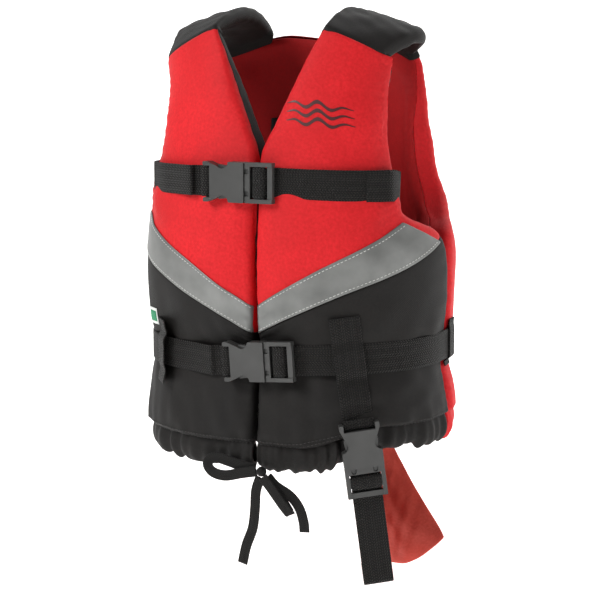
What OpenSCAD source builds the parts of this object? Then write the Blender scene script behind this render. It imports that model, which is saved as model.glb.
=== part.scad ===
// Child's foam life jacket: two front panels, one back panel, shoulder yokes,
// chest and waist belts, a crotch strap and a gathered hem.
// Millimetres. Origin between the shoulders, on top of them. The front faces -Y, up is +Z
// and +X is the wearer's left.

/* [Body] */
// Half of the vest's width at the hem.
vest_half_w = 134; // [130:1:138]
// Half of the vest's depth at the hem, front to back.
vest_half_d = 93; // [90:1:96]
// Thickness of the front panels, fabric included.
front_thick = 33; // [28:1:34]
// Thickness of the back panel, fabric included.
back_thick = 28; // [24:1:30]
// Modelled thickness of the coated fabric.
fabric_t = 0.8; // [0.5:0.1:1]
// Air left between neighbouring layers.
layer_gap = 0.3; // [0.3:0.1:0.4]

/* [Webbing] */
// Width of the chest, waist and crotch webbing.
web_w = 25; // [24:0.5:25.5]
// Thickness of the webbing.
web_t = 1.4; // [1.2:0.1:1.5]
// Air under webbing that lies on the fabric.
web_gap = 1.2; // [1.1:0.1:1.4]
// Width of the drawstring tape.
tape_w = 9; // [8:0.5:10]
// Thickness of the drawstring tape.
tape_t = 1.2; // [1:0.1:1.4]

/* [Buckles] */
// Outer width of the side-release buckle.
buckle_w = 33; // [33:0.5:35]
// Thickness of the buckle.
buckle_t = 9.5; // [9.5:0.1:10.5]
// Length of the socket from its mouth to its wing ends.
socket_len = 37; // [37:0.5:39]
// Visible length of the plug frame.
plug_len = 25; // [25:0.5:27]

/* [Hidden] */
n_shape = 2.3;
half_buckle = buckle_w / 2;
cavity_half = 13.5;
cavity_deep = 25.4;
cavity_z0 = 2;
cavity_z1 = 7.5;
arm_z0 = 2.8;
arm_z1 = 6.7;
pivot_x = 2.6;
pivot_y = 9;
knuckle_r = 1.7;
pocket_r = 2;
edge_r = 0.9;
web_d = -(web_gap + web_t / 2);
side_step = 0.012;
wall_bottom = -359;
hem_bottom = -374;
seam_phi = 92;
hem_mid = (wall_bottom + hem_bottom) / 2 - 0.4;

// Buckle frames: mouth centre, turn about Z, slant of the release direction.
chest_at = [-5, -91, -140];
waist_at = [14, -93.5, -286];
waist_roll = 4;
crotch_at = [92, -76, -370];
crotch_yaw = 29;
crotch_roll = -82.3;

// Where each height sits across the body, as offsets from the hem sizes.
width_steps = [[-380, 0], [-350, 1], [-320, -1], [-290, -4], [-255, -1], [-200, 0],
    [-165, -6], [-130, -14], [-90, -19], [-50, -22], [-10, -22]];
front_steps = [[-380, -1], [-350, 1], [-320, -1], [-290, -3], [-255, 0], [-200, 2],
    [-165, -1], [-118, -9], [-80, -16], [-45, -24], [-10, -32]];
back_steps = [[-380, 0], [-350, 2], [-320, 0], [-290, -3], [-255, 0], [-200, 3],
    [-150, 2], [-100, -3], [-60, -11], [-20, -25], [-10, -33]];
// How far the shoulder line drops toward the arm, and how far the surface leans back.
drop_steps = [[-160, 0], [-90, 9], [-50, 19], [-10, 30]];
lean_steps = [[-150, 0], [-60, 22], [-10, 45]];
// Panel thickness as a share of the full one.
thick_steps = [[-380, 0.8], [-340, 1], [-200, 1], [-120, 0.85], [-60, 0.55], [-30, 0.36], [-10, 0.25]];

// Panel rows from hem to shoulder: inner height, outer height, inner angle, outer angle.
lower_rows = [[wall_bottom, wall_bottom, 0.4, seam_phi], [-340, -335, 0.4, seam_phi],
    [-312, -300, 0.4, seam_phi], [-290, -268, 0.4, seam_phi], [-277, -230, 0.4, 91],
    [-266, -189, 0.4, 87]];
upper_rows = [[-264.5, -187.5, 0.4, 86.5], [-243, -170, 0.4, 68], [-215, -156, 0.4, 66],
    [-180, -140, 0.4, 65], [-145, -118, 0.4, 64], [-118, -97, 0.4, 63.5], [-95, -76, 7.2, 64.5],
    [-70, -54, 16, 67], [-40, -32, 27.5, 71], [-11, -11, 39.5, 76]];
foam_rows = concat([lower_rows[0] + [2, 2, 0, 0]], [for (i = [1:5]) lower_rows[i]],
    [for (i = [0:8]) upper_rows[i]]);
back_rows = [[wall_bottom, wall_bottom, 180, 92.4], [-340, -335, 180, 92.4],
    [-312, -300, 180, 92.4], [-290, -268, 180, 92.4], [-262, -230, 180, 92.4],
    [-230, -190, 180, 93], [-205, -172, 180, 102], [-175, -150, 180, 110], [-145, -120, 180, 113],
    [-110, -90, 180, 114], [-75, -58, 180, 114.5], [-45, -32, 180, 115], [-22, -11, 180, 115]];

// Drawstring routes, chosen by hand.
knot_at = [10, -99, -379];
knot_r = 4.2;
loop_route = [[5.5, -99.4, -379], [-8, -99.4, -382], [-24, -99.3, -386], [-36, -99, -384],
    [-41, -98.3, -377], [-34, -97.2, -372], [-22, -96.6, -374], [-8, -96.6, -377], [3.5, -96.6, -378]];
bow_route = [[12, -100.9, -383], [20, -101.1, -392], [30, -101.3, -404], [37, -100.5, -412],
    [34, -98.4, -409], [26, -97.5, -399], [16, -97.4, -387]];
long_route = [[9, -99.2, -384], [5, -99.2, -396], [4, -99.4, -412], [2, -99.6, -428], [-4, -99.5, -444],
    [-8, -99, -460]];
short_route = [[14, -95.8, -383.5], [22, -95.6, -391], [35, -95.6, -398], [43, -95.8, -407],
    [47, -96, -418], [48, -96, -427]];

// Crotch flap from the back hem to its sewn end: wearer's right edge, middle, left edge.
flap_rows = [[[-20, 82, -378], [15, 83, -378], [47, 79, -378]],
    [[16, 60, -400], [40, 64, -406], [72, 62, -402]],
    [[52, 25, -424], [68, 30, -438], [99, 40, -426]],
    [[84, -18, -446], [96, -4, -463], [121, 24, -444]],
    [[101, -58, -452], [113, -20, -465], [131, 12, -450]]];

function unit(v) = v / norm(v);
function mix(a, b, t) = a + (b - a) * t;
function clamp01(t) = max(0, min(1, t));
function half_w(s) = vest_half_w + lookup(s, width_steps);
function half_d(s, phi) = vest_half_d + lookup(s, cos(phi) < 0 ? back_steps : front_steps);
function deep(s, phi) = (cos(phi) < 0 ? back_thick : front_thick) * lookup(s, thick_steps);

// Body surface point at angle phi from the front centre, at height s, d below the fabric.
function skin_pt(phi, s, d) =
    let (lean = lookup(s, lean_steps))
    let (a = half_w(s) - d * cos(lean))
    let (b = half_d(s, phi) - d * cos(lean))
    let (q = pow(abs(sin(phi)) / a, n_shape) + pow(abs(cos(phi)) / b, n_shape))
    let (r = pow(q, -1 / n_shape))
    let (x = r * sin(phi))
    [x, -r * cos(phi), s - lookup(s, drop_steps) * min(1.1, max(0, (abs(x) - 40) / 65)) - d * sin(lean)];

// One point of a panel: row is heights and angles, col is [across, depth, share of thickness].
function panel_pt(row, col) =
    let (u = abs(col[0]))
    let (phi0 = mix(row[2], row[3], u))
    let (phi = col[0] < 0 ? 360 - phi0 : phi0)
    let (s = mix(row[0], row[1], u))
    skin_pt(phi, s, col[1] + col[2] * deep(s, phi));

function panel_grid(rows, cols) = [for (r = rows) [for (c = cols) panel_pt(r, c)]];

// Closed solid between an outer and an inner grid of the same size.
module shell(outer, inner) {
    m = len(outer);
    n = len(outer[0]);
    k = m * n;
    points = concat([for (r = outer) for (p = r) p], [for (r = inner) for (p = r) p]);
    faces = concat(
        [for (i = [0:m - 2]) for (j = [0:n - 2]) [i * n + j, (i + 1) * n + j, (i + 1) * n + j + 1]],
        [for (i = [0:m - 2]) for (j = [0:n - 2]) [i * n + j, (i + 1) * n + j + 1, i * n + j + 1]],
        [for (i = [0:m - 2]) for (j = [0:n - 2]) [k + i * n + j, k + (i + 1) * n + j + 1, k + (i + 1) * n + j]],
        [for (i = [0:m - 2]) for (j = [0:n - 2]) [k + i * n + j, k + i * n + j + 1, k + (i + 1) * n + j + 1]],
        [for (j = [0:n - 2]) [j, j + 1, k + j + 1]],
        [for (j = [0:n - 2]) [j, k + j + 1, k + j]],
        [for (j = [0:n - 2]) [k - n + j + 1, k - n + j, 2 * k - n + j]],
        [for (j = [0:n - 2]) [k - n + j + 1, 2 * k - n + j, 2 * k - n + j + 1]],
        [for (i = [0:m - 2]) [(i + 1) * n, i * n, k + i * n]],
        [for (i = [0:m - 2]) [(i + 1) * n, k + i * n, k + (i + 1) * n]],
        [for (i = [0:m - 2]) [i * n + n - 1, (i + 1) * n + n - 1, k + (i + 1) * n + n - 1]],
        [for (i = [0:m - 2]) [i * n + n - 1, k + (i + 1) * n + n - 1, k + i * n + n - 1]]);
    polyhedron(points, faces);
}

// Closed solid through a list of rings that turn right-handed about the route.
module tube(rings) {
    m = len(rings);
    n = len(rings[0]);
    points = [for (r = rings) for (p = r) p];
    faces = concat(
        [for (i = [0:m - 2]) for (j = [0:n - 1]) [i * n + j, (i + 1) * n + j, (i + 1) * n + (j + 1) % n]],
        [for (i = [0:m - 2]) for (j = [0:n - 1]) [i * n + j, (i + 1) * n + (j + 1) % n, i * n + (j + 1) % n]],
        [for (j = [1:n - 2]) [0, j, j + 1]],
        [for (j = [1:n - 2]) [(m - 1) * n, (m - 1) * n + j + 1, (m - 1) * n + j]]);
    polyhedron(points, faces);
}

// Open-ended sleeve between outer and inner rings that turn left-handed about the route.
module sleeve(outer, inner) {
    m = len(outer);
    n = len(outer[0]);
    k = m * n;
    points = concat([for (r = outer) for (p = r) p], [for (r = inner) for (p = r) p]);
    last = (m - 1) * n;
    faces = concat(
        [for (i = [0:m - 2]) for (j = [0:n - 1]) [i * n + j, (i + 1) * n + (j + 1) % n, (i + 1) * n + j]],
        [for (i = [0:m - 2]) for (j = [0:n - 1]) [i * n + j, i * n + (j + 1) % n, (i + 1) * n + (j + 1) % n]],
        [for (i = [0:m - 2]) for (j = [0:n - 1]) [k + i * n + j, k + (i + 1) * n + j, k + (i + 1) * n + (j + 1) % n]],
        [for (i = [0:m - 2]) for (j = [0:n - 1]) [k + i * n + j, k + (i + 1) * n + (j + 1) % n, k + i * n + (j + 1) % n]],
        [for (j = [0:n - 1]) [(j + 1) % n, j, k + j]],
        [for (j = [0:n - 1]) [(j + 1) % n, k + j, k + (j + 1) % n]],
        [for (j = [0:n - 1]) [last + j, last + (j + 1) % n, k + last + (j + 1) % n]],
        [for (j = [0:n - 1]) [last + j, k + last + (j + 1) % n, k + last + j]]);
    polyhedron(points, faces);
}

// Flat strap along stations of [centre, width direction].
function strap_ring(st, i, w, t) =
    let (m = len(st))
    let (dir = unit(st[min(m - 1, i + 1)][0] - st[max(0, i - 1)][0]))
    let (raw = st[i][1] - dir * (st[i][1] * dir))
    let (wd = unit(raw) * w / 2)
    let (nd = cross(dir, unit(raw)) * t / 2)
    [st[i][0] - wd - nd, st[i][0] + wd - nd, st[i][0] + wd + nd, st[i][0] - wd + nd];

module strap(st, w = web_w, t = web_t) {
    tube([for (i = [0:len(st) - 1]) strap_ring(st, i, w, t)]);
}

// Tape that hangs free: a flat eight-sided section along a route.
function cord_ring(route, i, side, w, t) =
    let (m = len(route))
    let (dir = unit(route[min(m - 1, i + 1)] - route[max(0, i - 1)]))
    let (nd = unit(side - dir * (side * dir)))
    let (wd = cross(nd, dir))
    [for (k = [0:7]) route[i] + wd * w / 2 * cos(k * 45 + 22.5) + nd * t / 2 * sin(k * 45 + 22.5)];

module hanging_tape(route, side = [0, -1, 0]) {
    tube([for (i = [0:len(route) - 1]) cord_ring(route, i, side, tape_w, tape_t)]);
}

// A strap station on the body, standing upright or running up and down.
function lying(phi, s, d = web_d) = [skin_pt(phi, s, d), unit(skin_pt(phi, s + 6, d) - skin_pt(phi, s - 6, d))];
function rising(phi, s, d) = [skin_pt(phi, s, d), unit(skin_pt(phi + 3, s, d) - skin_pt(phi - 3, s, d))];

// A point and a station given in a buckle's own frame.
function frame_x(yaw, roll) = [cos(roll) * cos(yaw), cos(roll) * sin(yaw), sin(roll)];
function frame_y(yaw, roll) = [-sin(roll) * cos(yaw), -sin(roll) * sin(yaw), cos(roll)];
function frame_z(yaw) = [sin(yaw), -cos(yaw), 0];
function framed(at, yaw, roll, x, z) =
    [at + frame_x(yaw, roll) * x + frame_z(yaw) * z, frame_y(yaw, roll)];

module place(at, yaw, roll) {
    translate(at) rotate([0, 0, yaw]) rotate([90, 0, 0]) rotate([0, 0, roll]) children();
}

// Webbing path round the socket's bar, then round the plug's centre bar: [along, height].
bar_loop = [[-50, 0.7], [-37, 0.6], [-34.2, 0.6], [-32.8, 1.1], [-32.25, 2.2], [-32.25, 4.3], [-32.8, 5.3],
    [-34.2, 5.75], [-40, 5.6]];
ladder_loop = [[7, 2.2], [7, 4.6], [7.8, 6.7], [10, 7.6], [15.4, 7.6], [17.6, 6.7], [18.4, 4.6],
    [18.9, 2.4], [21, 0.9], [27, 0.5]];

// Covers wrap the panel's edges and reach part of the way back.
tray_out = [[0, 19, 0], [0, 9, 0], [0.02, 2.5, 0], [0.06, 0, 0], [0.17, 0, 0], [0.3, 0, 0], [0.43, 0, 0],
    [0.56, 0, 0], [0.69, 0, 0], [0.82, 0, 0], [0.93, 0, 0], [0.98, 2.5, 0], [1, 9, 0], [1, 19, 0]];
upper_wall = 0.55;
function tray_cols(wall, inset) =
    let (e = side_step * (inset > 0 ? 1 : 0))
    [[e, 0, wall], [e, 0, wall / 2], [0.02 + e / 2, 2.2 + inset, 0], [0.06, inset, 0], [0.17, inset, 0],
    [0.3, inset, 0], [0.43, inset, 0], [0.56, inset, 0], [0.69, inset, 0], [0.82, inset, 0],
    [0.93, inset, 0], [0.98 - e / 2, 2.2 + inset, 0], [1 - e, 0, wall / 2], [1 - e, 0, wall]];
function lining_cols(wall, inset) =
    let (e = side_step * (inset > 0 ? 1 : 0))
    [[e, 0, wall], [e, -inset, 1], [0.17, -inset, 1], [0.3, -inset, 1], [0.43, -inset, 1],
    [0.56, -inset, 1], [0.69, -inset, 1], [0.82, -inset, 1], [0.93, -inset, 1], [1 - e, -inset, 1],
    [1 - e, 0, wall]];
// The foam's edges are rounded where the fabric turns over them.
foam_gap = fabric_t + layer_gap;
lining_gap = foam_gap + 1.4;
function rounded_edge(u, gap) =
    lookup(min(u, 1 - u), [[0.02, 8], [0.035, gap + 2.6], [0.06, gap], [0.07, gap]]);
function foam_cols(front) =
    [for (u = [0.02, 0.035, 0.06, 0.17, 0.3, 0.43, 0.56, 0.69, 0.82, 0.93, 0.965, 0.98])
        [u, front ? rounded_edge(u, foam_gap) : -rounded_edge(u, lining_gap), front ? 0 : 1]];

module front_cover(rows, wall) {
    shell(panel_grid(rows, tray_cols(wall, 0)), panel_grid(rows, tray_cols(wall, fabric_t)));
}

module front_lining() {
    rows = concat(lower_rows, upper_rows);
    wall = upper_wall + 0.1;
    shell(panel_grid(rows, lining_cols(wall, 0)), panel_grid(rows, lining_cols(wall, fabric_t)));
}

module front_foam() {
    shell(panel_grid(foam_rows, foam_cols(true)), panel_grid(foam_rows, foam_cols(false)));
}

// The back uses the same columns on both sides of its centre line.
back_us = [0, 0.18, 0.35, 0.5, 0.65, 0.8, 0.93, 0.965, 0.985];
function back_row_set(cut) = [for (i = [0:len(back_rows) - 1 - cut]) back_rows[i]];

function back_tray(inset) =
    let (e = side_step / 2 * (inset > 0 ? 1 : 0))
    concat([[-(1 - e), 0, 0.6], [-(1 - e), 0, 0.3]],
        [for (u = [-0.98, -0.93, -0.8, -0.65, -0.5, -0.35, -0.18, 0, 0.18, 0.35, 0.5, 0.65, 0.8, 0.93, 0.98])
            [u, inset + (abs(u) > 0.97 ? 2.2 : 0), 0]],
        [[1 - e, 0, 0.3], [1 - e, 0, 0.6]]);

function back_lining_cols(inset) =
    let (e = side_step / 2 * (inset > 0 ? 1 : 0))
    concat([[-(1 - e), 0, 0.7]],
        [for (u = [-1 + e, -0.8, -0.65, -0.5, -0.35, -0.18, 0, 0.18, 0.35, 0.5, 0.65, 0.8, 1 - e])
            [u, -inset, 1]],
        [[1 - e, 0, 0.7]]);

module back_cover() {
    color("firebrick") shell(panel_grid(back_rows, flip(back_tray(0))),
        panel_grid(back_rows, flip(back_tray(fabric_t))));
}

module back_lining() {
    color("darkred") shell(panel_grid(back_rows, flip(back_lining_cols(0))),
        panel_grid(back_rows, flip(back_lining_cols(fabric_t))));
}

// Runs the columns from the wearer's left round the back to the right.
function flip(cols) = [for (i = [len(cols) - 1:-1:0]) cols[i]];

function back_foam_depth(u) = lookup(u, [[0.93, foam_gap], [0.965, 3.8], [0.985, 10]]);
module back_foam() {
    rows = concat([back_rows[0] + [2, 2, 0, 0]], [for (i = [1:len(back_rows) - 2]) back_rows[i]]);
    us = concat([for (i = [len(back_us) - 1:-1:1]) -back_us[i]], back_us);
    outer = flip([for (u = us) [u, back_foam_depth(abs(u)), 0]]);
    inner = flip([for (u = us) [u, -foam_gap, 1]]);
    color("gainsboro") shell(panel_grid(rows, outer), panel_grid(rows, inner));
}

module front_left_foam() {
    color("gainsboro") front_foam();
}

module front_right_foam() {
    color("gainsboro") mirror([1, 0, 0]) front_foam();
}

module front_left_upper_cover() {
    color("crimson") front_cover(upper_rows, upper_wall);
}

module front_right_upper_cover() {
    color("crimson") mirror([1, 0, 0]) front_cover(upper_rows, upper_wall);
}

module front_left_lower_cover() {
    color("dimgray") front_cover(lower_rows, upper_wall);
}

module front_right_lower_cover() {
    color("dimgray") mirror([1, 0, 0]) front_cover(lower_rows, upper_wall);
}

module front_left_lining() {
    color("black") front_lining();
}

module front_right_lining() {
    color("black") mirror([1, 0, 0]) front_lining();
}

// Shoulder yoke: an arch from the front seam to the back seam.
yoke_across = [0, 0.2, 0.4, 0.6, 0.8, 1];
yoke_along = [0, 0.12, 0.26, 0.4, 0.5, 0.6, 0.74, 0.88, 1];
yoke_start = 0.8;
function yoke_pt(u, v, d) =
    let (f = skin_pt(mix(39.5, 76, u), -10.4, 0))
    let (b = skin_pt(mix(138, 115, u), -10.4, 0))
    let (base = mix(f, b, v))
    let (top = [mix(45, 110, u), mix(f[1], b[1], v), mix(0.5, -19, u)])
    let (arch = max(0, sin(v * 180)))
    let (lean = mix(48, -48, v))
    let (p = [mix(base[0], top[0], arch), base[1], mix(base[2], top[2], pow(arch, 0.9))])
    p + [0, sin(lean), -cos(lean)] * d;
function yoke_grid(us, vs, d) = [for (v = vs) [for (u = us) yoke_pt(u, v, d)]];
yoke_t = 9;

// Ring round the yoke's section at v, d below its outside.
function yoke_ring(v, d) =
    let (us = [for (u = yoke_across) mix(d > 0 ? 0.02 : 0, d > 0 ? 0.98 : 1, u)])
    concat([for (u = us) yoke_pt(u, v, d)], [for (i = [len(us) - 1:-1:0]) yoke_pt(us[i], v, yoke_t - d)]);

module yoke_cover() {
    vs = [for (v = yoke_along) mix(0.012, 0.988, v)];
    sleeve([for (v = vs) yoke_ring(v, 0)], [for (v = vs) yoke_ring(v, fabric_t)]);
}

module yoke_pad() {
    us = [for (u = yoke_across) mix(0.04, 0.96, u)];
    vs = [for (v = yoke_along) mix(0.06, 0.94, v)];
    c = fabric_t + layer_gap + 0.2;
    shell(yoke_grid(us, vs, c), yoke_grid(us, vs, yoke_t - c));
}

module shoulder_left_cover() {
    color("black") yoke_cover();
}

module shoulder_right_cover() {
    color("black") mirror([1, 0, 0]) yoke_cover();
}

module shoulder_left_pad() {
    color("gainsboro") yoke_pad();
}

module shoulder_right_pad() {
    color("gainsboro") mirror([1, 0, 0]) yoke_pad();
}

// Reflective tape over the seam between the upper and lower covers.
module chevron() {
    rows = [lower_rows[5] + [-0.5, -0.5, 0, 0], upper_rows[0], mix(upper_rows[0], upper_rows[1], 0.5),
        upper_rows[1]];
    cols = [0.06, 0.17, 0.3, 0.43, 0.56, 0.69, 0.82, 0.93];
    shell(panel_grid(rows, [for (u = concat([0.012], cols, [0.975])) [u, -0.9, 0]]),
        panel_grid(rows, [for (u = concat([0.012], cols, [0.975])) [u, -0.35, 0]]));
}

module reflective_tape_left() {
    color("silver") chevron();
}

module reflective_tape_right() {
    color("silver") mirror([1, 0, 0]) chevron();
}

// Hem casing: a flat sleeve round the drawstring, open at both ends.
function casing_ring(phi, grow) =
    [for (k = [0:7]) skin_pt(phi, hem_mid + (7 - grow) * sin(k * 45 + 22.5), 5.5 - (5.2 - grow) * cos(k * 45 + 22.5))];
module casing(from, to, steps) {
    phis = [for (i = [0:steps]) mix(from, to, i / steps)];
    sleeve([for (phi = phis) casing_ring(phi, 0)], [for (phi = phis) casing_ring(phi, fabric_t)]);
}

module hem_left_casing() {
    color("black") casing(2, seam_phi - 0.5, 9);
}

module hem_right_casing() {
    color("black") mirror([1, 0, 0]) casing(2, seam_phi - 0.5, 9);
}

module hem_back_casing() {
    color("firebrick") casing(seam_phi + 1, 359 - seam_phi, 17);
}

// Drawstring: the run inside the casing, then the knot, bow and ends in front.
module drawstring_run() {
    color("black") strap([for (i = [0:36]) lying(mix(4, 356, i / 36), hem_mid, 5.5)], tape_w, tape_t);
}

module drawstring_knot() {
    color("black") translate(knot_at) sphere(r = knot_r, $fn = 24);
}

module drawstring_bow_right() {
    color("black") hanging_tape(loop_route, [0.05, -1, 0.1]);
}

module drawstring_bow_left() {
    color("black") hanging_tape(bow_route);
}

module drawstring_end_long() {
    color("black") hanging_tape(long_route);
}

module drawstring_end_short() {
    color("black") hanging_tape(short_route);
}

// Chest strap, wearer's right: round the socket's bar, along the panel, round its arm edge.
module chest_strap_right() {
    path = concat([for (p = bar_loop) framed(chest_at, 0, 0, p[0], p[1])],
        [[[-56, -94, -140], [0, 0, 1]], [[-70, -87.5, -140], [0, 0, 1]]],
        [for (phi = [-48, -54, -60]) lying(phi, -139.5)],
        [lying(-65, -139.5, -1), lying(-66.6, -139.5, 3), lying(-66.8, -139.5, 12), lying(-66.8, -139.5, 22)]);
    color("black") strap(path);
}

module chest_strap_left() {
    path = concat([for (p = ladder_loop) framed(chest_at, 0, 0, p[0], p[1])],
        [[[30, -90.5, -140], [0, 0, 1]]],
        [for (phi = [28, 36, 44, 52, 60]) lying(phi, -140)],
        [lying(65, -141, -1), lying(66.6, -141, 3), lying(66.8, -141, 12), lying(66.8, -141, 22)]);
    color("black") strap(path);
}

// Waist belt: one length from the socket round the back to the plug.
function belt_s(phi) = lookup(phi, [[-330, -284], [-290, -280], [-240, -279], [-180, -284], [-90, -288], [-40, -289.5]]);
module waist_belt() {
    path = concat([for (p = bar_loop) framed(waist_at, 0, waist_roll, p[0], p[1])],
        [framed(waist_at, 0, waist_roll, -50, 3), framed(waist_at, 0, waist_roll, -62, -1)],
        [for (i = [0:46]) lying(mix(-42, -335, i / 46), belt_s(mix(-42, -335, i / 46)), web_d - 0.7)],
        [for (i = [len(ladder_loop) - 1:-1:0])
            framed(waist_at, 0, waist_roll, ladder_loop[i][0], ladder_loop[i][1])]);
    color("black") strap(path);
}

belt_loop_steps = [[-26, -1.9], [-20, -2.1], [-16, -3.6], [-13, -5], [13, -5], [16, -3.6], [20, -2.1], [26, -1.9]];
module belt_loop(phi, s_mid, w) {
    strap([for (k = belt_loop_steps) rising(phi, s_mid + k[0], k[1])], w);
}

module belt_loop_right() {
    color("black") belt_loop(-51, -288.5, web_w);
}

module belt_loop_left() {
    color("black") belt_loop(97, -279, 16);
}

// Crotch strap above the buckle: sewn to the panel, then over the belt to the socket.
module crotch_strap_upper() {
    path = concat([for (p = bar_loop) framed(crotch_at, crotch_yaw, crotch_roll, p[0], p[1])],
        [for (p = [[-50, 4.2], [-62, 3], [-74, 2.2], [-102, 2], [-109, 0.6], [-114, -0.6], [-123, -0.9]])
            framed(crotch_at, crotch_yaw, crotch_roll, p[0], p[1])]);
    color("black") strap(path);
}

// Below the buckle the webbing hangs to a fold and turns up behind itself to the flap.
module crotch_strap_lower() {
    path = concat([for (p = ladder_loop) framed(crotch_at, crotch_yaw, crotch_roll, p[0], p[1])],
        [for (p = [[45, 0.2], [70, 0], [98, 0], [100.6, -0.6], [101.6, -2], [100.6, -3.4], [98, -4], [84, -4]])
            framed(crotch_at, crotch_yaw, crotch_roll, p[0], p[1])]);
    color("black") strap(path);
}

module crotch_flap() {
    lift = [0, 0, -0.8];
    color("firebrick") shell([for (r = flap_rows) [for (p = r) p + lift]], flap_rows);
}

// Small sewn and printed items.
module patch(phi, s, w_deg, h, d, t) {
    us = [-0.5, -0.17, 0.17, 0.5];
    vs = [-0.5, 0, 0.5];
    shell([for (v = vs) [for (u = us) skin_pt(phi + u * w_deg, s + v * h, d)]],
        [for (v = vs) [for (u = us) skin_pt(phi + u * w_deg, s + v * h, d + t)]]);
}

module side_tag() {
    color("seagreen") patch(-61, -262, 6, 12, -1.1, 0.6);
}

module inner_label() {
    color("black") patch(221, -97, 9, 17, deep(-97, 180) + 1.9, 0.6);
}

// Printed waves on the wearer's left breast.
module wave(offset) {
    us = [for (i = [0:16]) i / 16];
    shell([for (v = [-1.6, 1.6]) [for (u = us) skin_pt(mix(17, 50, u),
            -83 + offset + 3 * sin(u * 900) * sin(u * 180) + v * sin(u * 160 + 10), -0.5)]],
        [for (v = [-1.6, 1.6]) [for (u = us) skin_pt(mix(17, 50, u),
            -83 + offset + 3 * sin(u * 900) * sin(u * 180) + v * sin(u * 160 + 10), -0.25)]]);
}

module chest_print() {
    color("maroon") {
        wave(-7);
        wave(0);
        wave(7);
    }
}

// Buckle outlines. The thumb notches narrow the socket where the latch heads show.
module socket_outline() {
    offset(r = edge_r, $fn = 24) offset(delta = -edge_r) difference() {
        translate([-socket_len, -half_buckle]) square([socket_len, buckle_w]);
        for (side = [-1, 1]) {
            translate([-19.5, side * half_buckle]) circle(r = 5.5, $fn = 48);
            polygon([[-19.5, side * (half_buckle - 5.5)], [-33, side * half_buckle],
                [-33, side * (half_buckle + 1)], [-19.5, side * (half_buckle + 1)]]);
        }
        translate([-socket_len - 1, -13]) square([socket_len - 30, 26]);
    }
}

module socket() {
    difference() {
        linear_extrude(buckle_t) socket_outline();
        translate([-cavity_deep, -cavity_half, cavity_z0])
            cube([cavity_deep + 1, cavity_half * 2, cavity_z1 - cavity_z0]);
    }
    translate([-36.5, -13.5, 1.7]) cube([3, 27, 3]);
}

module plug() {
    rail = half_buckle - 13.2;
    difference() {
        translate([0.4, -half_buckle, 1.6]) cube([4.8, buckle_w, 6.4]);
        for (side = [-1, 1]) {
            translate([pivot_x, side * pivot_y, 0]) cylinder(r = pocket_r, h = 20, $fn = 48);
            translate([-1, side * pivot_y - pocket_r, 0]) cube([1 + pivot_x, pocket_r * 2, 20]);
        }
    }
    for (side = [-1, 1]) {
        translate([5.1, side > 0 ? 13.2 : -half_buckle, 1.6]) cube([plug_len - 5.1, rail, 6.4]);
    }
    translate([8.4, -13.3, 3.2]) cube([8.6, 26.6, 2.7]);
    translate([plug_len - 4.4, -13.3, 2.9]) cube([4.4, 26.6, 4.1]);
    translate([-22, -2.2, 2.8]) cube([22.6, 4.4, 3.9]);
}

module latch_arm() {
    translate([0, 0, arm_z0]) linear_extrude(arm_z1 - arm_z0) {
        translate([pivot_x, pivot_y]) circle(r = knuckle_r, $fn = 48);
        polygon([[2.6, 7.4], [2.6, 10.6], [0, 10.8], [-6, 11.4], [-11, 12.6], [-14.5, 13], [-18, 13.5],
            [-21, 13.9], [-23.6, 14.2], [-24.6, 12.6], [-24.2, 10], [-20, 9.4], [-14, 9.6], [-6, 8.6],
            [0, 7.6]]);
    }
}

module chest_socket() {
    color("dimgray") place(chest_at, 0, 0) socket();
}

module chest_plug() {
    color("dimgray") place(chest_at, 0, 0) plug();
}

module chest_latch_upper() {
    color("gray") place(chest_at, 0, 0) latch_arm();
}

module chest_latch_lower() {
    color("gray") place(chest_at, 0, 0) mirror([0, 1, 0]) latch_arm();
}

module waist_socket() {
    color("dimgray") place(waist_at, 0, waist_roll) socket();
}

module waist_plug() {
    color("dimgray") place(waist_at, 0, waist_roll) plug();
}

module waist_latch_upper() {
    color("gray") place(waist_at, 0, waist_roll) latch_arm();
}

module waist_latch_lower() {
    color("gray") place(waist_at, 0, waist_roll) mirror([0, 1, 0]) latch_arm();
}

module crotch_socket() {
    color("dimgray") place(crotch_at, crotch_yaw, crotch_roll) socket();
}

module crotch_plug() {
    color("dimgray") place(crotch_at, crotch_yaw, crotch_roll) plug();
}

module crotch_latch_left() {
    color("gray") place(crotch_at, crotch_yaw, crotch_roll) latch_arm();
}

module crotch_latch_right() {
    color("gray") place(crotch_at, crotch_yaw, crotch_roll) mirror([0, 1, 0]) latch_arm();
}

front_left_foam();
front_right_foam();
back_foam();
front_left_upper_cover();
front_right_upper_cover();
front_left_lower_cover();
front_right_lower_cover();
front_left_lining();
front_right_lining();
back_cover();
back_lining();
shoulder_left_cover();
shoulder_right_cover();
shoulder_left_pad();
shoulder_right_pad();
reflective_tape_left();
reflective_tape_right();
hem_left_casing();
hem_right_casing();
hem_back_casing();
drawstring_run();
drawstring_knot();
drawstring_bow_right();
drawstring_bow_left();
drawstring_end_long();
drawstring_end_short();
chest_strap_right();
chest_strap_left();
waist_belt();
belt_loop_right();
belt_loop_left();
crotch_strap_upper();
crotch_strap_lower();
crotch_flap();
side_tag();
inner_label();
chest_print();
chest_socket();
chest_plug();
chest_latch_upper();
chest_latch_lower();
waist_socket();
waist_plug();
waist_latch_upper();
waist_latch_lower();
crotch_socket();
crotch_plug();
crotch_latch_left();
crotch_latch_right();
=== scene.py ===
import math

import bmesh
import bpy
import numpy as np
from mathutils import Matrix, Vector
from mathutils.bvhtree import BVHTree


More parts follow.
